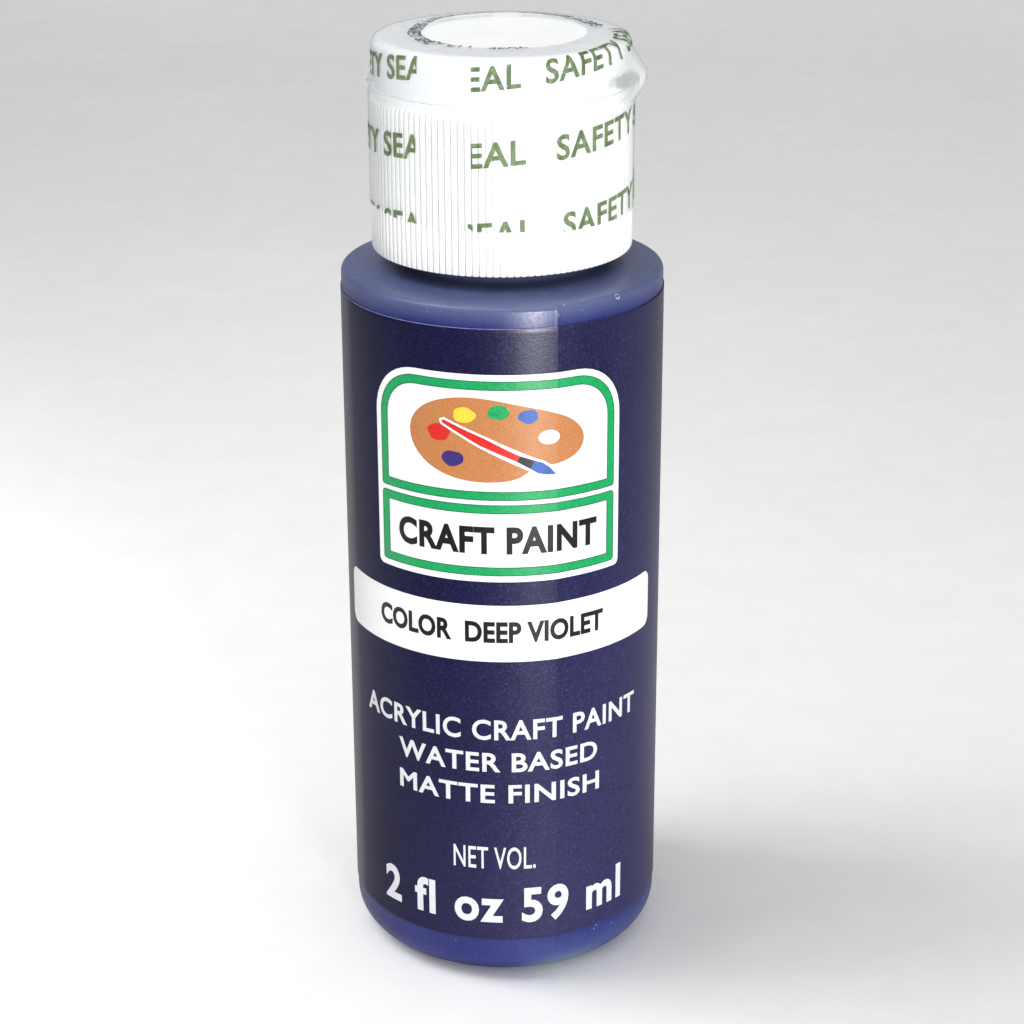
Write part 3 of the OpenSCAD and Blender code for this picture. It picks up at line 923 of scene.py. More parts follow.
# brush: piece, ink, lift, outline with x along the brush
BRUSH_X, BRUSH_Y, BRUSH_TURN = 1.3, 2.9, 154
BRUSH = [
    ("halo", "white", 0.062,
     [(-6.0, 0), (-4.7, 0.72), (-3.7, 0.9), (-2.8, 0.78), (3.0, 0.72), (7.8, 0.42), (8.15, 0),
      (7.8, -0.42), (3.0, -0.72), (-2.8, -0.78), (-3.7, -0.9), (-4.7, -0.72)]),
    ("handle", "red", 0.078,
     [(-1.2, -0.34), (3.0, -0.46), (7.6, -0.20), (7.9, 0), (7.6, 0.20), (3.0, 0.46),
      (-1.2, 0.34)]),
    ("ferrule", "black", 0.078, [(-2.8, -0.50), (-1.2, -0.36), (-1.2, 0.36), (-2.8, 0.50)]),
    ("bristle", "blue", 0.078,
     [(-2.8, -0.50), (-3.7, -0.62), (-4.6, -0.45), (-5.6, 0.0), (-4.6, 0.45), (-3.7, 0.62),
      (-2.8, 0.50)]),
]
for piece, ink, lift, outline in BRUSH:
    points = [turned(x, y, BRUSH_TURN) for x, y in outline]
    badge(f"brush_{piece}", [[(BRUSH_X + x, BRUSH_Y + y) for x, y in points]], ink, lift)

WORD_W = 22.6
print_on_label(text_flat("badge_word", "CRAFT PAINT", 3.1, WORD_W, bold=0.04, spacing=1.08),
               BADGE_AZ - math.degrees(WORD_W / 2 / LABEL_R), BADGE_Z - 8.4, "black", lift=0.03)

# panel of directions on the +X side: words, letter height, width, z
SIDE_AZ, SIDE_W = 88.5, 22.6
SIDE_LINES = [
    ("HOW TO USE", 1.7, 12.5, 66.0),
    ("Shake well.", 1.25, 9.2, 62.3),
    ("Brush on to a clean, dry surface.", 1.25, SIDE_W, 59.7),
    ("Leave each coat to dry.", 1.25, 17.3, 57.1),
    ("Wash brushes in water.", 1.25, 17.3, 54.5),
]
for i, (words, height, width, z) in enumerate(SIDE_LINES):
    line = text_flat(f"side_line_{i + 1}", words, height, width, bold=0.02 if i == 0 else 0.006,
                     thick=0.024, spacing=1.04)
    print_on_label(line, SIDE_AZ, z, "lettering")
# name, height, corner radius, z of its middle, ink
for name, height, corner, z, ink in (("side_panel_rule", 0.35, 0.1, 64.7, "lettering"),
                                     ("side_panel_block", 7.0, 1.2, 46.0, "white")):
    flat = shape_flat(name, [round_box(SIDE_W, height, corner, corner, SIDE_W / 2)])
    print_on_label(flat, SIDE_AZ, z, ink, lift=0.014)
SIDE_WORD_W = 16.5
side_word = text_flat("side_panel_block_words", "DEEP VIOLET", 2.0, SIDE_WORD_W, bold=0.026,
                      thick=0.024, spacing=1.04)
print_on_label(side_word, SIDE_AZ + math.degrees((SIDE_W - SIDE_WORD_W) / 2 / LABEL_R), 45.0,
               "black", lift=0.03)

# ---------------------------------------------------------------- cap
RIBS = 120
RIB_TOP = PART_Z - 1.0
RIB_ROOT = CAP_R - 0.27
BAND_R = RIB_ROOT - 0.02                     # plain band above the ribs
# one rib: place across it as a share of the pitch, height as a share of the full rib
RIB_POINTS = [(-0.5, 0), (-0.455, 0), (-0.42, 0.10), (-0.37, 0.62), (-0.32, 0.90),
              (-0.24, 1.0), (-0.08, 1.0), (0.08, 1.0), (0.24, 1.0), (0.32, 0.90),
              (0.37, 0.62), (0.42, 0.10), (0.455, 0)]
RIB_HEIGHTS = {(i + offset) * (360 / RIBS) + 90: height      # by azimuth
               for i in range(RIBS) for offset, height in RIB_POINTS}


def cap_profile(azimuth):
    height = RIB_HEIGHTS[azimuth]
    rib = RIB_ROOT - 0.06 + 0.33 * height
    under = DECK - 1.4
    return [
        # outside, from the lower lip up
        (12.55, CAP_Z0), (RIB_ROOT - 0.45, CAP_Z0),
        (RIB_ROOT - 0.16 + 0.24 * height, CAP_Z0 + 0.015),
        (rib - 0.07, CAP_Z0 + 0.07), (rib, CAP_Z0 + 0.24),
        (rib, 86), (rib, 90), (rib, 94), (rib, RIB_TOP - 0.75),
        (RIB_ROOT - 0.04 + 0.26 * height, RIB_TOP - 0.38),
        (RIB_ROOT - 0.02 + 0.12 * height, RIB_TOP - 0.12), (BAND_R, RIB_TOP + 0.02),
        (BAND_R, PART_Z - 0.08), (BAND_R - 0.02, PART_Z - 0.02), (BAND_R - 0.08, PART_Z),
        # rim and snap ring
        (LID_IN - 0.28, PART_Z), (LID_IN - 0.28, PART_Z + 0.15), (LID_IN - 0.2, PART_Z + 0.4),
        (LID_IN - 0.27, PART_Z + 0.68), (LID_IN - 0.45, PART_Z + 0.84),
        (LID_IN - 0.75, PART_Z + 0.85), (LID_IN - 1.0, PART_Z + 0.62),
        (LID_IN - 1.1, PART_Z + 0.3),
        # deck and spout
        (LID_IN - 1.1, DECK + 0.25), (LID_IN - 1.3, DECK + 0.03), (LID_IN - 1.6, DECK),
        (4.3, DECK), (3.75, DECK + 0.06), (3.35, DECK + 0.25), (3.12, DECK + 0.6),
        (3.02, DECK + 1.0), (2.75, SPOUT_TOP - 0.45), (2.62, SPOUT_TOP - 0.15),
        (2.45, SPOUT_TOP), (2.1, SPOUT_TOP), (1.95, SPOUT_TOP - 0.05),
        (1.72, SPOUT_TOP - 0.35), (1.6, SPOUT_TOP - 0.65), (1.6, DECK - 1.25),
        # underside of the deck, seal ring, inside of the skirt
        (7.39, under + 0.15), (7.39, under - 2.2), (7.7, under - 2.7), (8.05, under - 2.7),
        (8.34, under - 2.0), (8.34, under), (12.05, under), (12.05, CAP_Z0 + 0.6)]


def hinge_pad(name, z0, z1):
    """A rounded pad under one end of the hinge strip, on the outside of the wall."""
    x0 = -(CAP_R + 0.04)
    length, width = 1.1, 5.0
    edit = bmesh.new()
    bmesh.ops.create_cube(edit, size=1)
    for v in edit.verts:
        v.co = Vector((x0 + length / 2 + v.co.x * length, v.co.y * width,
                       (z0 + z1) / 2 + v.co.z * (z1 - z0)))
    bmesh.ops.bevel(edit, geom=edit.edges[:], offset=0.12, segments=3, affect="EDGES")
    turn = Matrix.Rotation(math.radians(TAB_POLAR), 3, "Z")
    for v in edit.verts:
        v.co = turn @ v.co * MM
    mesh = bpy.data.meshes.new(name)
    edit.to_mesh(mesh)
    edit.free()
    return add_object(name, mesh)


cap_shell = join("cap_shell", [
    revolve("cap_body_shell", list(RIB_HEIGHTS), cap_profile, closed=True),
    thread_rib("cap_thread", 12.4, 11.03, 1.25, 0.5, THREAD_Z0 - 1.43),
    hinge_pad("cap_boss", PART_Z - 1.3, PART_Z)])
finish(cap_shell, CAP_PLASTIC, "cap", "cap_body", sharp=38)


# ---------------------------------------------------------------- lid
def lid_profile(_azimuth):
    pin = SPOUT_TOP - 1.25                   # lower end of the plug that enters the spout
    return [
        (0.0, LID_TOP - 0.06), (4.0, LID_TOP - 0.05), (8.0, LID_TOP - 0.03),
        (11.0, LID_TOP - 0.01),
        *arc(LID_R - LID_ROUND, LID_TOP - LID_ROUND, LID_ROUND, 90, 0, 9),
        (LID_R, 101.5), (LID_R, LID_Z0 + 0.08), (LID_R - 0.02, LID_Z0 + 0.02),
        (LID_R - 0.08, LID_Z0),
        # inside
        (LID_IN + 0.15, LID_Z0), (LID_IN, LID_Z0 + 0.3), (LID_IN - 0.1, LID_Z0 + 0.45),
        (LID_IN - 0.12, LID_Z0 + 0.6), (LID_IN, LID_Z0 + 0.85), (LID_IN, LID_TOP - 1.7),
        (LID_IN - 0.15, LID_TOP - 1.25), (LID_IN - 0.5, LID_TOP - 1.03), (5.0, LID_TOP - 1.03),
        (1.8, LID_TOP - 1.03), (1.55, LID_TOP - 1.15), (1.45, LID_TOP - 1.4),
        (1.45, pin + 0.45), (1.36, pin + 0.2), (1.12, pin + 0.03), (0.8, pin), (0.0, pin)]


def lid_tab():
    """Thumb tab: a rounded plate outlined by an arc, its root buried in the lid's wall."""
    outer = [p for p in arc(TAB_C, 0, TAB_R, -42, 42, 40) if math.hypot(*p) > 13.3]
    loop = outer + arc(0, 0, 13.15, 24, -24, 16)
    z0 = LID_Z0 + 0.37
    # height above the underside, inset of the outer edge
    levels = [(0, 0.34), (0.10, 0.14), (0.26, 0.03), (0.45, 0.0), (0.80, 0.0),
              (0.97, 0.05), (1.07, 0.16), (1.10, 0.32)]
    verts, faces = [], []
    count = len(loop)
    for rise, inset in levels:
        for i, (x, y) in enumerate(loop):
            if i < len(outer):
                from_centre = math.hypot(x - TAB_C, y)
                shrink = (from_centre - inset) / from_centre
                x, y = TAB_C + (x - TAB_C) * shrink, y * shrink
            verts.append((*turned(x, y, TAB_POLAR), z0 + rise))
    for low in range(0, (len(levels) - 1) * count, count):
        for i in range(count):
            j = (i + 1) % count
            faces.append([low + i, low + j, low + count + j, low + count + i])
    faces.append(list(range(count))[::-1])
    top = (len(levels) - 1) * count
    faces.append([top + i for i in range(count)])
    return mesh_object("lid_tab", verts, faces)


lid_shell = join("lid_shell", [
    revolve("lid_body", [i * 1.5 for i in range(240)], lid_profile),
    lid_tab(),
    hinge_pad("lid_boss", LID_Z0, LID_Z0 + 1.25)])
finish(lid_shell, LID_PLASTIC, "lid", "flip_lid", sharp=38)


# ---------------------------------------------------------------- hinge strip
def hinge_web():
    """A flat strip across the parting line just outside the wall, thinned at the fold."""
    half_h, half_thick = 0.95, 0.12
    path = []                                # (place across the wall, height), going up
    for i in range(-12, 13):
        z = i / 12 * half_h
        bulge = 0.03 * math.cos(math.pi / 2 * z / half_h)
        path.append((0.27 - 0.27 * smooth((half_h - abs(z)) / 0.45) - bulge, z))
    count = len(path)
    sides = {1: [], -1: []}
    for side, row in sides.items():
        for i, (x, z) in enumerate(path):
            before, after = path[max(i - 1, 0)], path[min(i + 1, count - 1)]
            dx, dz = after[0] - before[0], after[1] - before[1]
            length = math.hypot(dx, dz)
            thin = 1.0 - 0.45 * math.exp(-((i - (count - 1) / 2) / 2.6) ** 2)
            row.append((x + side * half_thick * thin * dz / length,
                        z - side * half_thick * thin * dx / length))
    loop = sides[1] + sides[-1][::-1]
    stations = [-2.3, -2.22, -1.5, -0.5, 0.5, 1.5, 2.22, 2.3]    # across the strip's width
    around = len(loop)
    verts = [(*turned(-(CAP_R + 0.10) + x, y, TAB_POLAR), PART_Z + z)
             for y in stations for x, z in loop]
    faces = []
    last = (len(stations) - 1) * around
    for low in range(0, last, around):
        for i in range(around):
            j = (i + 1) % around
            faces.append([low + i, low + j, low + around + j, low + around + i])
    for start, flip in ((0, False), (last, True)):
        for i in range(count - 1):
            face = [start + i, start + i + 1, start + around - 2 - i, start + around - 1 - i]
            faces.append(face[::-1] if flip else face)
    return orient(mesh_object("hinge_web", verts, faces))


web = hinge_web()
dress(web, LID_PLASTIC)
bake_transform(web)
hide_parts("living_hinge")

# ---------------------------------------------------------------- shrink film
FILM_GAP = 0.10                              # from the plastic to the film's outer face
FILM_THICK = 0.06
FILM_R = CAP_R + FILM_GAP
FILM_ROUND = LID_ROUND + FILM_GAP
LID_SIDE_TOP = LID_TOP - LID_ROUND
TEAR_Z = PART_Z - 0.06                       # split between the two films
TENT_Z0 = PART_Z - 2.0                       # the film leaves the cap below the tab here
HINGE_ARC_R = 14.3
WINDOW_HALF, WINDOW_Z = 2.42, 0.97           # half sizes of the gap round the hinge strip
# lower edge of the film: azimuth, z
FILM_BOTTOM = [(-180, 86.6), (-100, 87.3), (-67, 87.2), (-50, 87.0), (-42, 86.9), (0, 86.5),
               (28, 86.3), (64, 86.1), (120, 86.2), (180, 86.6)]


def film_bottom(azimuth):
    azimuth = (azimuth + 180) % 360 - 180
    for (az0, z0), (az1, z1) in zip(FILM_BOTTOM, FILM_BOTTOM[1:]):
        if az0 <= azimuth <= az1:
            return z0 + (z1 - z0) * (azimuth - az0) / (az1 - az0) + 0.04 * wave(azimuth / 9, 2, 0)


def near_tab(azimuth, half, soft):
    """1 inside half degrees of the tab, falling to 0 over soft degrees."""
    return smooth((half + soft - abs(ang_diff(azimuth, TAB_AZ))) / soft)


def tent_r(azimuth, z):
    """Radius of the film where it bridges the thumb tab, or 0 away from it."""
    off = math.radians(ang_diff(azimuth, TAB_AZ))
    z_mid0, z_mid1, z_hi = LID_Z0 + 0.30, LID_Z0 + 1.52, LID_TOP - 0.75
    if abs(off) > math.radians(50) or z <= TENT_Z0 or z >= z_hi:
        return 0.0
    # distance from the axis to the film round the tab's outline
    radius = TAB_R + 0.16
    over_tab = TAB_C * math.cos(off) + math.sqrt(radius * radius - (TAB_C * math.sin(off)) ** 2)
    if z < z_mid0:
        low_r, t = CAP_R + 0.02, (z - TENT_Z0) / (z_mid0 - TENT_Z0)
    elif z > z_mid1:
        low_r, t = LID_R + 0.02, (z_hi - z) / (z_hi - z_mid1)
    else:
        return over_tab
    return low_r + (over_tab - low_r) * t ** 1.15


def film_r(azimuth, z):
    """Outer radius of the film on the side of the cap or lid."""
    band = BAND_R + 0.14
    side = LID_R + FILM_GAP
    narrow_z, widen_z = RIB_TOP - 0.5, PART_Z - 0.1
    if z < narrow_z:
        radius = FILM_R
    elif z < widen_z:
        radius = FILM_R + (band - FILM_R) * smooth((z - narrow_z) / (widen_z - narrow_z))
    else:
        radius = band + (side - band) * smooth((z - widen_z) / 1.2)
    radius += 0.018 * wave(azimuth / 6.0, z / 3.0, 1.0)
    radius += 0.05 * near_tab(azimuth, 44, 14) * wave(azimuth / 3.0, z / 5.0, 3.0)
    # swelling over the hinge's pads and strip
    off = abs(arc_length(azimuth, HINGE_AZ, HINGE_ARC_R))
    swell = smooth((3.6 - off) / 1.3) * smooth((2.3 - abs(z - PART_Z)) / 1.3)
    radius += max(0.0, 14.25 - radius) * swell
    return max(radius, tent_r(azimuth, z) + 0.05 * wave(azimuth / 2.6, z / 2.0, 7.0))


def hole_r(azimuth):
    """The film's open edge on top of the lid: not round, not centred."""
    x, y = az_xy(azimuth, 1)
    radius = 8.75 + 0.45 * y * y + 0.36 * x + 0.55 * y
    return radius + 0.28 * wave(x * 2.2, y * 2.2, 5) + 0.10 * wave(x * 7, y * 7, 2)


def in_window(azimuth, z):
    """True where the film is left out round the hinge strip."""
    return (abs(arc_length(azimuth, HINGE_AZ, HINGE_ARC_R)) < WINDOW_HALF
            and abs(z - PART_Z) < WINDOW_Z)


WINDOW_DEGREES = math.degrees(WINDOW_HALF / HINGE_ARC_R)
FILM_AZ = sorted({float(i) for i in range(360)}
                 | {round((HINGE_AZ + side * WINDOW_DEGREES) % 360, 3) for side in (-1, 1)})


def outwardness(face):
    middle = face.calc_center_median()
    return face.normal.x * middle.x + face.normal.y * middle.y


def film_sheet(name, rows_at):
    """An open sheet from the rows of (radius, z) at each azimuth, thickened inwards."""
    rows = [rows_at(azimuth) for azimuth in FILM_AZ]
    count, points = len(FILM_AZ), len(rows[0])
    verts = [(*az_xy(azimuth, radius), z)
             for azimuth, row in zip(FILM_AZ, rows) for radius, z in row]
    faces = []
    for i in range(count):
        i2 = (i + 1) % count
        middle = FILM_AZ[i] + ((FILM_AZ[i2] - FILM_AZ[i]) % 360) / 2
        for j in range(points - 1):
            if not in_window(middle, (rows[i][j][1] + rows[i][j + 1][1]) / 2):
                here, after = i * points + j, i2 * points + j
                faces.append([here, after, after + 1, here + 1])
    obj = orient(mesh_object(name, verts, faces), outwardness)
    solid = obj.modifiers.new("thickness", "SOLIDIFY")
    solid.thickness = FILM_THICK * MM
    solid.offset = -1
    mesh = evaluated_mesh(obj)
    obj.modifiers.clear()
    obj.data = mesh
    return obj


def split_z(azimuth):
    """Height of the split between the two films, dipping under the tab."""
    dip = smooth((36 - abs(ang_diff(azimuth, TAB_AZ))) / 5.0)
    return TEAR_Z - (TEAR_Z - (PART_Z - 2.05)) * dip


def steps_between(start, end, steps):
    """Even steps up to the end, leaving out the start."""
    return [start + (end - start) * i / steps for i in range(1, steps + 1)]


def lower_rows(azimuth):
    z0, z1 = film_bottom(azimuth), split_z(azimuth) - 0.003
    window_z = min(PART_Z - WINDOW_Z, z1 - 0.4)
    levels = [87.8, 89.5, 91.5, 93.5, 95.0, 96.3]
    levels += steps_between(96.3, window_z, 8) + steps_between(window_z, z1, 4)
    return [(film_r(azimuth, z0) - 0.03, z0), (film_r(azimuth, z0 + 0.1) + 0.02, z0 + 0.10),
            *((film_r(azimuth, z), z) for z in levels)]


def top_film_z(azimuth, t):
    """Height of the film over the lid's top: t is 0 at the rounded edge and 1 at the open ring.
    It lies flat at first, is creased near the ring, and stands a little off at the back."""
    crease = 0.05 * t * wave(azimuth / 4.0, t * 2, 4.0)
    crease += 0.030 * math.sin(math.radians(azimuth * 23 + 60 * t)) * t * (1 - 0.5 * t)
    back = smooth((abs(ang_diff(azimuth, 0)) - 100) / 50.0)
    lift = 0.10 * t * t * (0.4 + 0.6 * wave(azimuth / 14.0, 3.0, 0.0)) + 0.34 * back * t * t
    lift += 0.10 * near_tab(azimuth, 20, 25) * math.sin(math.pi * t)
    return LID_TOP + FILM_GAP + max(0.0, lift + crease + 0.02)


def upper_rows(azimuth):
    z0, window_z = split_z(azimuth) - 0.05, PART_Z + WINDOW_Z
    rows = []
    for i, z in enumerate([z0] + steps_between(z0, window_z, 8)):
        # the lowest rows lap over the film below
        rows.append((film_r(azimuth, z) + 0.045 * (1 - smooth(i / 3)), z))
    rows += [(film_r(azimuth, z), z) for z in steps_between(window_z, LID_SIDE_TOP, 16)]
    # over the rounded edge of the lid
    edge_r = film_r(azimuth, LID_SIDE_TOP) - FILM_ROUND
    rise = top_film_z(azimuth, 0.0) - LID_SIDE_TOP
    for i in range(1, 7):
        t = math.radians(90 * i / 6)
        rows.append((edge_r + FILM_ROUND * math.cos(t), LID_SIDE_TOP + rise * math.sin(t)))
    # in to the open ring
    inward = hole_r(azimuth) - edge_r
    return rows + [(edge_r + inward * i / 12, top_film_z(azimuth, i / 12)) for i in range(1, 13)]


finish(film_sheet("seal_film_lower", lower_rows), FILM, "cap",
       "seal_band_lower", sharp=80)
finish(film_sheet("seal_film_upper", upper_rows), LID_FILM, "lid",
       "seal_band_upper", sharp=80)


# ---------------------------------------------------------------- print on the film
def on_film(azimuth, z0, lift=0.035):
    """Places flat print on the film's side, carried over the lid's rounded edge on to its top."""
    def place(x, y, z):
        at_az = azimuth + math.degrees(x / FILM_R)
        height = z0 + y
        over = height - LID_SIDE_TOP
        if over <= 0:
            return *az_xy(at_az, film_r(at_az, height) + lift + z), height
        edge_r = film_r(at_az, LID_SIDE_TOP) - FILM_ROUND
        quarter = FILM_ROUND * math.pi / 2
        if over < quarter:
            t = over / FILM_ROUND
            radius = edge_r + (FILM_ROUND + lift) * math.cos(t)
            return *az_xy(at_az, radius), LID_SIDE_TOP + (FILM_ROUND + lift) * math.sin(t)
        return *az_xy(at_az, edge_r - (over - quarter)), LID_TOP + FILM_GAP + lift + 0.05
    return place


def finish_print(obj, ink, body):
    finish(obj, ink, body)
    set_smooth(obj.data, False)


WORDS = "SAFETY SEAL"
SLOPE = math.tan(math.radians(4.9))
LEFT_END, RIGHT_START = -39.0, -13.3         # no print shows between these azimuths
# Tag, body, letter height, then phrases: azimuth and z of the baseline at the phrase's start
# or end, slope, azimuths where it is cut on the left and right, slope of its cut along the
# film's lower edge.
FILM_ROWS = [
    ("mid", "cap", 2.6, [
        (9.7, "end", 93.8, SLOPE, RIGHT_START, None, None),
        (22.8, "start", 93.9, SLOPE, None, 116, None),
        (-28, "end", 93.87, 0.08, None, LEFT_END, None),
        (150, "start", 93.4, 0.0, None, 285, None)]),
    ("low", "cap", 2.6, [
        (13.5, "end", 85.55, SLOPE, RIGHT_START - 1.5, None, 0.0),
        (26.0, "start", 85.75, SLOPE, None, 118, 0.0),
        (-29, "end", 85.6, 0.075, None, LEFT_END, -0.02),
        (152, "start", 88.2, 0.0, None, 284, None)]),
    ("top", "lid", 2.5, [
        (8.0, "end", 101.55, SLOPE, RIGHT_START, None, None),
        (18.5, "start", 101.75, SLOPE * 1.3, None, None, None),
        (-28, "end", 102.05, 0.105, -91, LEFT_END, None),
        (146, "start", 101.5, 0.0, None, 240, None)]),
]


def film_phrase(name, body, height, anchor, anchored, z0, slope, left, right, low_slope):
    obj = text_flat(name, WORDS, height, bold=0.023, thick=0.012, spacing=1.07, slope=slope)
    azimuth = anchor
    if anchored == "end":
        xs = [v.co.x for v in obj.data.vertices]
        width = max(xs) - min(xs)
        azimuth -= math.degrees(width / FILM_R)
        z0 -= slope * width
    clips = []
    if right is not None:
        clips.append(((math.radians(right - azimuth) * FILM_R, 0, 0), (1, 0, 0)))
    if left is not None:
        clips.append(((math.radians(left - azimuth) * FILM_R, 0, 0), (-1, 0, 0)))
    if low_slope is not None:
        first = azimuth if left is None else max(azimuth, left)
        down = -Vector((-low_slope, 1, 0)).normalized()
        clips.append(((0, film_bottom(first) + 0.1 - z0, 0), tuple(down)))
    wrap(obj, on_film(azimuth, z0), step=0.5, clips=clips, step_y=0.45)
    finish_print(obj, SEAL_INK, body)


for tag, body, height, phrases in FILM_ROWS:
    for i, entry in enumerate(phrases):
        film_phrase(f"seal_print_{tag}_{i + 1}", body, height, *entry)


# the next row, drawn in and squeezed small where the film closes over the top
RING_HEIGHT = 2.4


def on_top(azimuth, gap, squeeze_x, squeeze_y):
    def place(x, y, z):
        at_az = azimuth + math.degrees(x * squeeze_x / (hole_r(azimuth) + gap))
        hole = hole_r(at_az)
        ripple = 0.12 * wave(at_az / 3.0, y, 2)
        radius = hole + gap + (RING_HEIGHT - y) * squeeze_y + ripple
        edge_r = LID_R - LID_ROUND
        t = max(0.0, min(1.0, (edge_r - radius) / (edge_r - hole)))
        return *az_xy(at_az, radius), top_film_z(at_az, t) + 0.045 + z
    return place


# azimuth of the start, words, gap between the film's open edge and the tops of the letters;
# where the gap is negative the upper half of the letters is cut away
RING = [(-176, "SAFETY", 0.25), (-152, WORDS, 0.02), (-106, WORDS, 0.02), (-60, "SAFETY", -0.9),
        (-9, "SEAL", -1.0), (106, WORDS, 0.7), (152, "SAFE", 0.5)]
for i, (azimuth, words, gap) in enumerate(RING):
    obj = text_flat(f"seal_print_ring_{i + 1}", words, RING_HEIGHT, bold=0.022, thick=0.012)
    clips = [((0, RING_HEIGHT / 2, 0), (0, 1, 0))] if gap < 0 else []
    place = on_top(azimuth, gap, squeeze_x=0.44 if gap >= 0 else 0.5, squeeze_y=0.58)
    wrap(obj, place, step=0.5, clips=clips, step_y=0.5)
    finish_print(obj, RING_INK, "lid")


# ---------------------------------------------------------------- floor
def floor_material():
    """Pale matt sheet, faintly mottled. In reflections its front part is dim, as if the table
    ended there; beyond that it is dark to everything but the camera."""
    mat = new_shader("floor_paper")
    broad = mat.noise(scale=0.016)
    mottle = mat.noise(scale=0.11, detail=4.0, rough=0.6)
    fine = mat.noise(scale=1.2, detail=4.0)
    color = mat.mix((0.91, 0.905, 0.912, 1), (0.875, 0.875, 0.875, 1),
                    by=mat.span(broad, over=(0.3, 0.7)))
    color = mat.mix(color, (0.80, 0.80, 0.80, 1),
                    by=mat.span(mottle, over=(0.35, 0.75), to=(0, 0.35)))
    y = mat.axes()[1]
    rays = mat.add("LightPath").outputs
    dim = mat.math("MULTIPLY", mat.span(y, over=(-28, -70), to=(0.45, 0.94), soft=True),
                   rays["Is Glossy Ray"])
    far = mat.math("MULTIPLY", mat.span(y, over=(-230, -250), soft=True),
                   mat.math("SUBTRACT", 1.0, rays["Is Camera Ray"]))
    color = mat.mix(color, (0.02, 0.02, 0.022, 1), by=mat.math("MAXIMUM", dim, far))
    normal = mat.bump(fine, strength=0.15, mm=0.08)
    normal = mat.bump(mottle, strength=0.2, mm=0.6, normal=normal)
    return mat.output(mat.principled(color, 0.75, normal))


def floor():
    """A pale sheet that curves up far behind."""
    half_w, bend_y, bend_r = 2400, 500, 350
    profile = [(-2400, 0), (-240, 0), (0, 0), (bend_y, 0)]       # (y, z)
    for degrees in range(10, 91, 10):
        t = math.radians(degrees)
        profile.append((bend_y + bend_r * math.sin(t), bend_r - bend_r * math.cos(t)))
    profile.append((bend_y + bend_r, 1500))
    count = len(profile)
    verts = [(x, y, z) for x in (-half_w, half_w) for y, z in profile]
    faces = [[j, j + 1, count + j + 1, count + j] for j in range(count - 1)]
    obj = mesh_object("floor_sheet", verts, faces)
    obj.data.materials.append(floor_material())
    return orient(obj, lambda face: face.normal.z)


floor_sheet = floor()


# ---------------------------------------------------------------- light
def studio_world():
    """The room: pale above and dim below the horizon, but an even pale grey to the camera."""
    world = bpy.data.worlds.new("studio")
    bpy.context.scene.world = world
    world.use_nodes = True
    room = Shader(world.node_tree)
    background = world.node_tree.nodes["Background"]
    place = room.add("TexCoord").outputs["Generated"]
    height = room.add("SeparateXYZ", Vector=place).outputs["Z"]
    sky = room.ramp(room.span(height, over=(-0.25, 0.75)),
                    [(0.0, (0.03, 0.03, 0.035, 1)), (0.24, (0.10, 0.10, 0.11, 1)),
                     (0.36, (0.62, 0.63, 0.65, 1)), (1.0, (1.0, 0.995, 0.99, 1))])
    room.feed(background.inputs["Color"], sky)
    background.inputs["Strength"].default_value = 0.80
    pale = room.add("Background", Color=(0.66, 0.66, 0.665, 1))
    mixed = room.mix_shader(background.outputs[0], pale.outputs[0],
                            by=room.add("LightPath").outputs["Is Camera Ray"])
    room.feed(world.node_tree.nodes["World Output"].inputs["Surface"], mixed)


def area_light(name, azimuth, elevation, distance, size, watts, target=(0, 0, 60)):
    """A rectangular lamp at a distance from its target, facing it."""
    light = bpy.data.lights.new(name, "AREA")
    light.shape = "RECTANGLE"
    light.size, light.size_y = size[0] * MM, size[1] * MM
    light.energy = watts
    obj = add_object(name, light)
    turn, rise = math.radians(azimuth), math.radians(elevation)
    direction = Vector((math.sin(turn) * math.cos(rise), -math.cos(turn) * math.cos(rise),
                        math.sin(rise)))
    obj.location = Vector(target) * MM + direction * distance * MM
    obj.rotation_mode = "QUATERNION"
    obj.rotation_quaternion = (-direction).to_track_quat("-Z", "Y")
    return obj


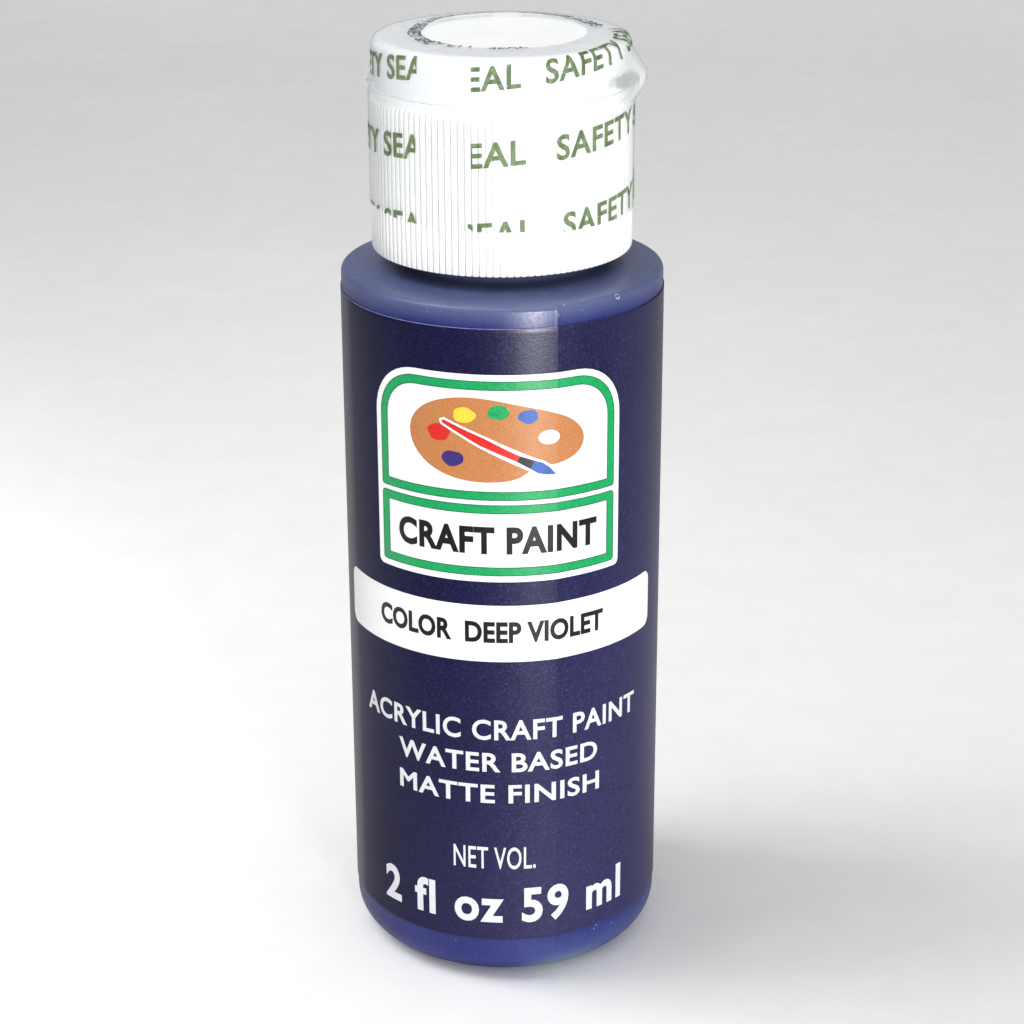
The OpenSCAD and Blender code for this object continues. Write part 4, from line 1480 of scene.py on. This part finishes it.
def light_only(light, name, objects):
    """Limits a lamp to some objects."""
    receivers = bpy.data.collections.new(name)
    for obj in objects:
        receivers.objects.link(obj)
    light.light_linking.receiver_collection = receivers


studio_world()
# a small low lamp in front, which the label and the ribs catch
area_light("front_lamp", azimuth=20, elevation=-3, distance=500, size=(80, 70), watts=2.25,
           target=(0, -17, 72))
area_light("left_soft", azimuth=-84, elevation=62, distance=330, size=(150, 150), watts=0.32)
# a wide fill from above for the product alone
top_soft = area_light("top_soft", azimuth=20, elevation=72, distance=420, size=(260, 260),
                      watts=0.46)
# from the left on the floor alone, for the shadow to the right
floor_key = area_light("floor_key", azimuth=-96, elevation=41, distance=260, size=(120, 120),
                       watts=0.28, target=(0, -6, 10))
light_only(floor_key, "floor_only", [floor_sheet])
light_only(top_soft, "object_only", [obj for obj in bpy.context.scene.objects
                                     if obj.type == "MESH" and obj is not floor_sheet])

# ---------------------------------------------------------------- camera
# a little above the bottle and nearly square to its label; angles in radians
LENS = 88.68902
CAMERA_AT = Vector((0.0, -265.94, 153.14))
YAW, PITCH, ROLL = 0.0063, 0.3690, -0.0193
LEAN_Y, LEAN_X = 0.0142, 0.0055              # small lean of the camera's frame about the origin


def camera():
    forward = Vector((math.sin(YAW) * math.cos(PITCH), math.cos(YAW) * math.cos(PITCH),
                      -math.sin(PITCH)))
    level = Vector((math.cos(YAW), -math.sin(YAW), 0))
    upright = level.cross(forward)
    right = level * math.cos(ROLL) + upright * math.sin(ROLL)
    up = -level * math.sin(ROLL) + upright * math.cos(ROLL)
    lean = Matrix.Rotation(LEAN_Y, 3, "Y") @ Matrix.Rotation(LEAN_X, 3, "X")
    lean.transpose()
    data = bpy.data.cameras.new("camera")
    data.sensor_width = 36
    data.lens = LENS
    data.clip_start, data.clip_end = 0.01, 10
    obj = add_object("camera", data)
    turn = Matrix((lean @ right, lean @ up, -(lean @ forward))).transposed()
    obj.matrix_world = Matrix.Translation(lean @ CAMERA_AT * MM) @ turn.to_4x4()
    return obj


scene = bpy.context.scene
scene.camera = camera()
scene.view_settings.view_transform = "Standard"
scene.view_settings.look = "None"
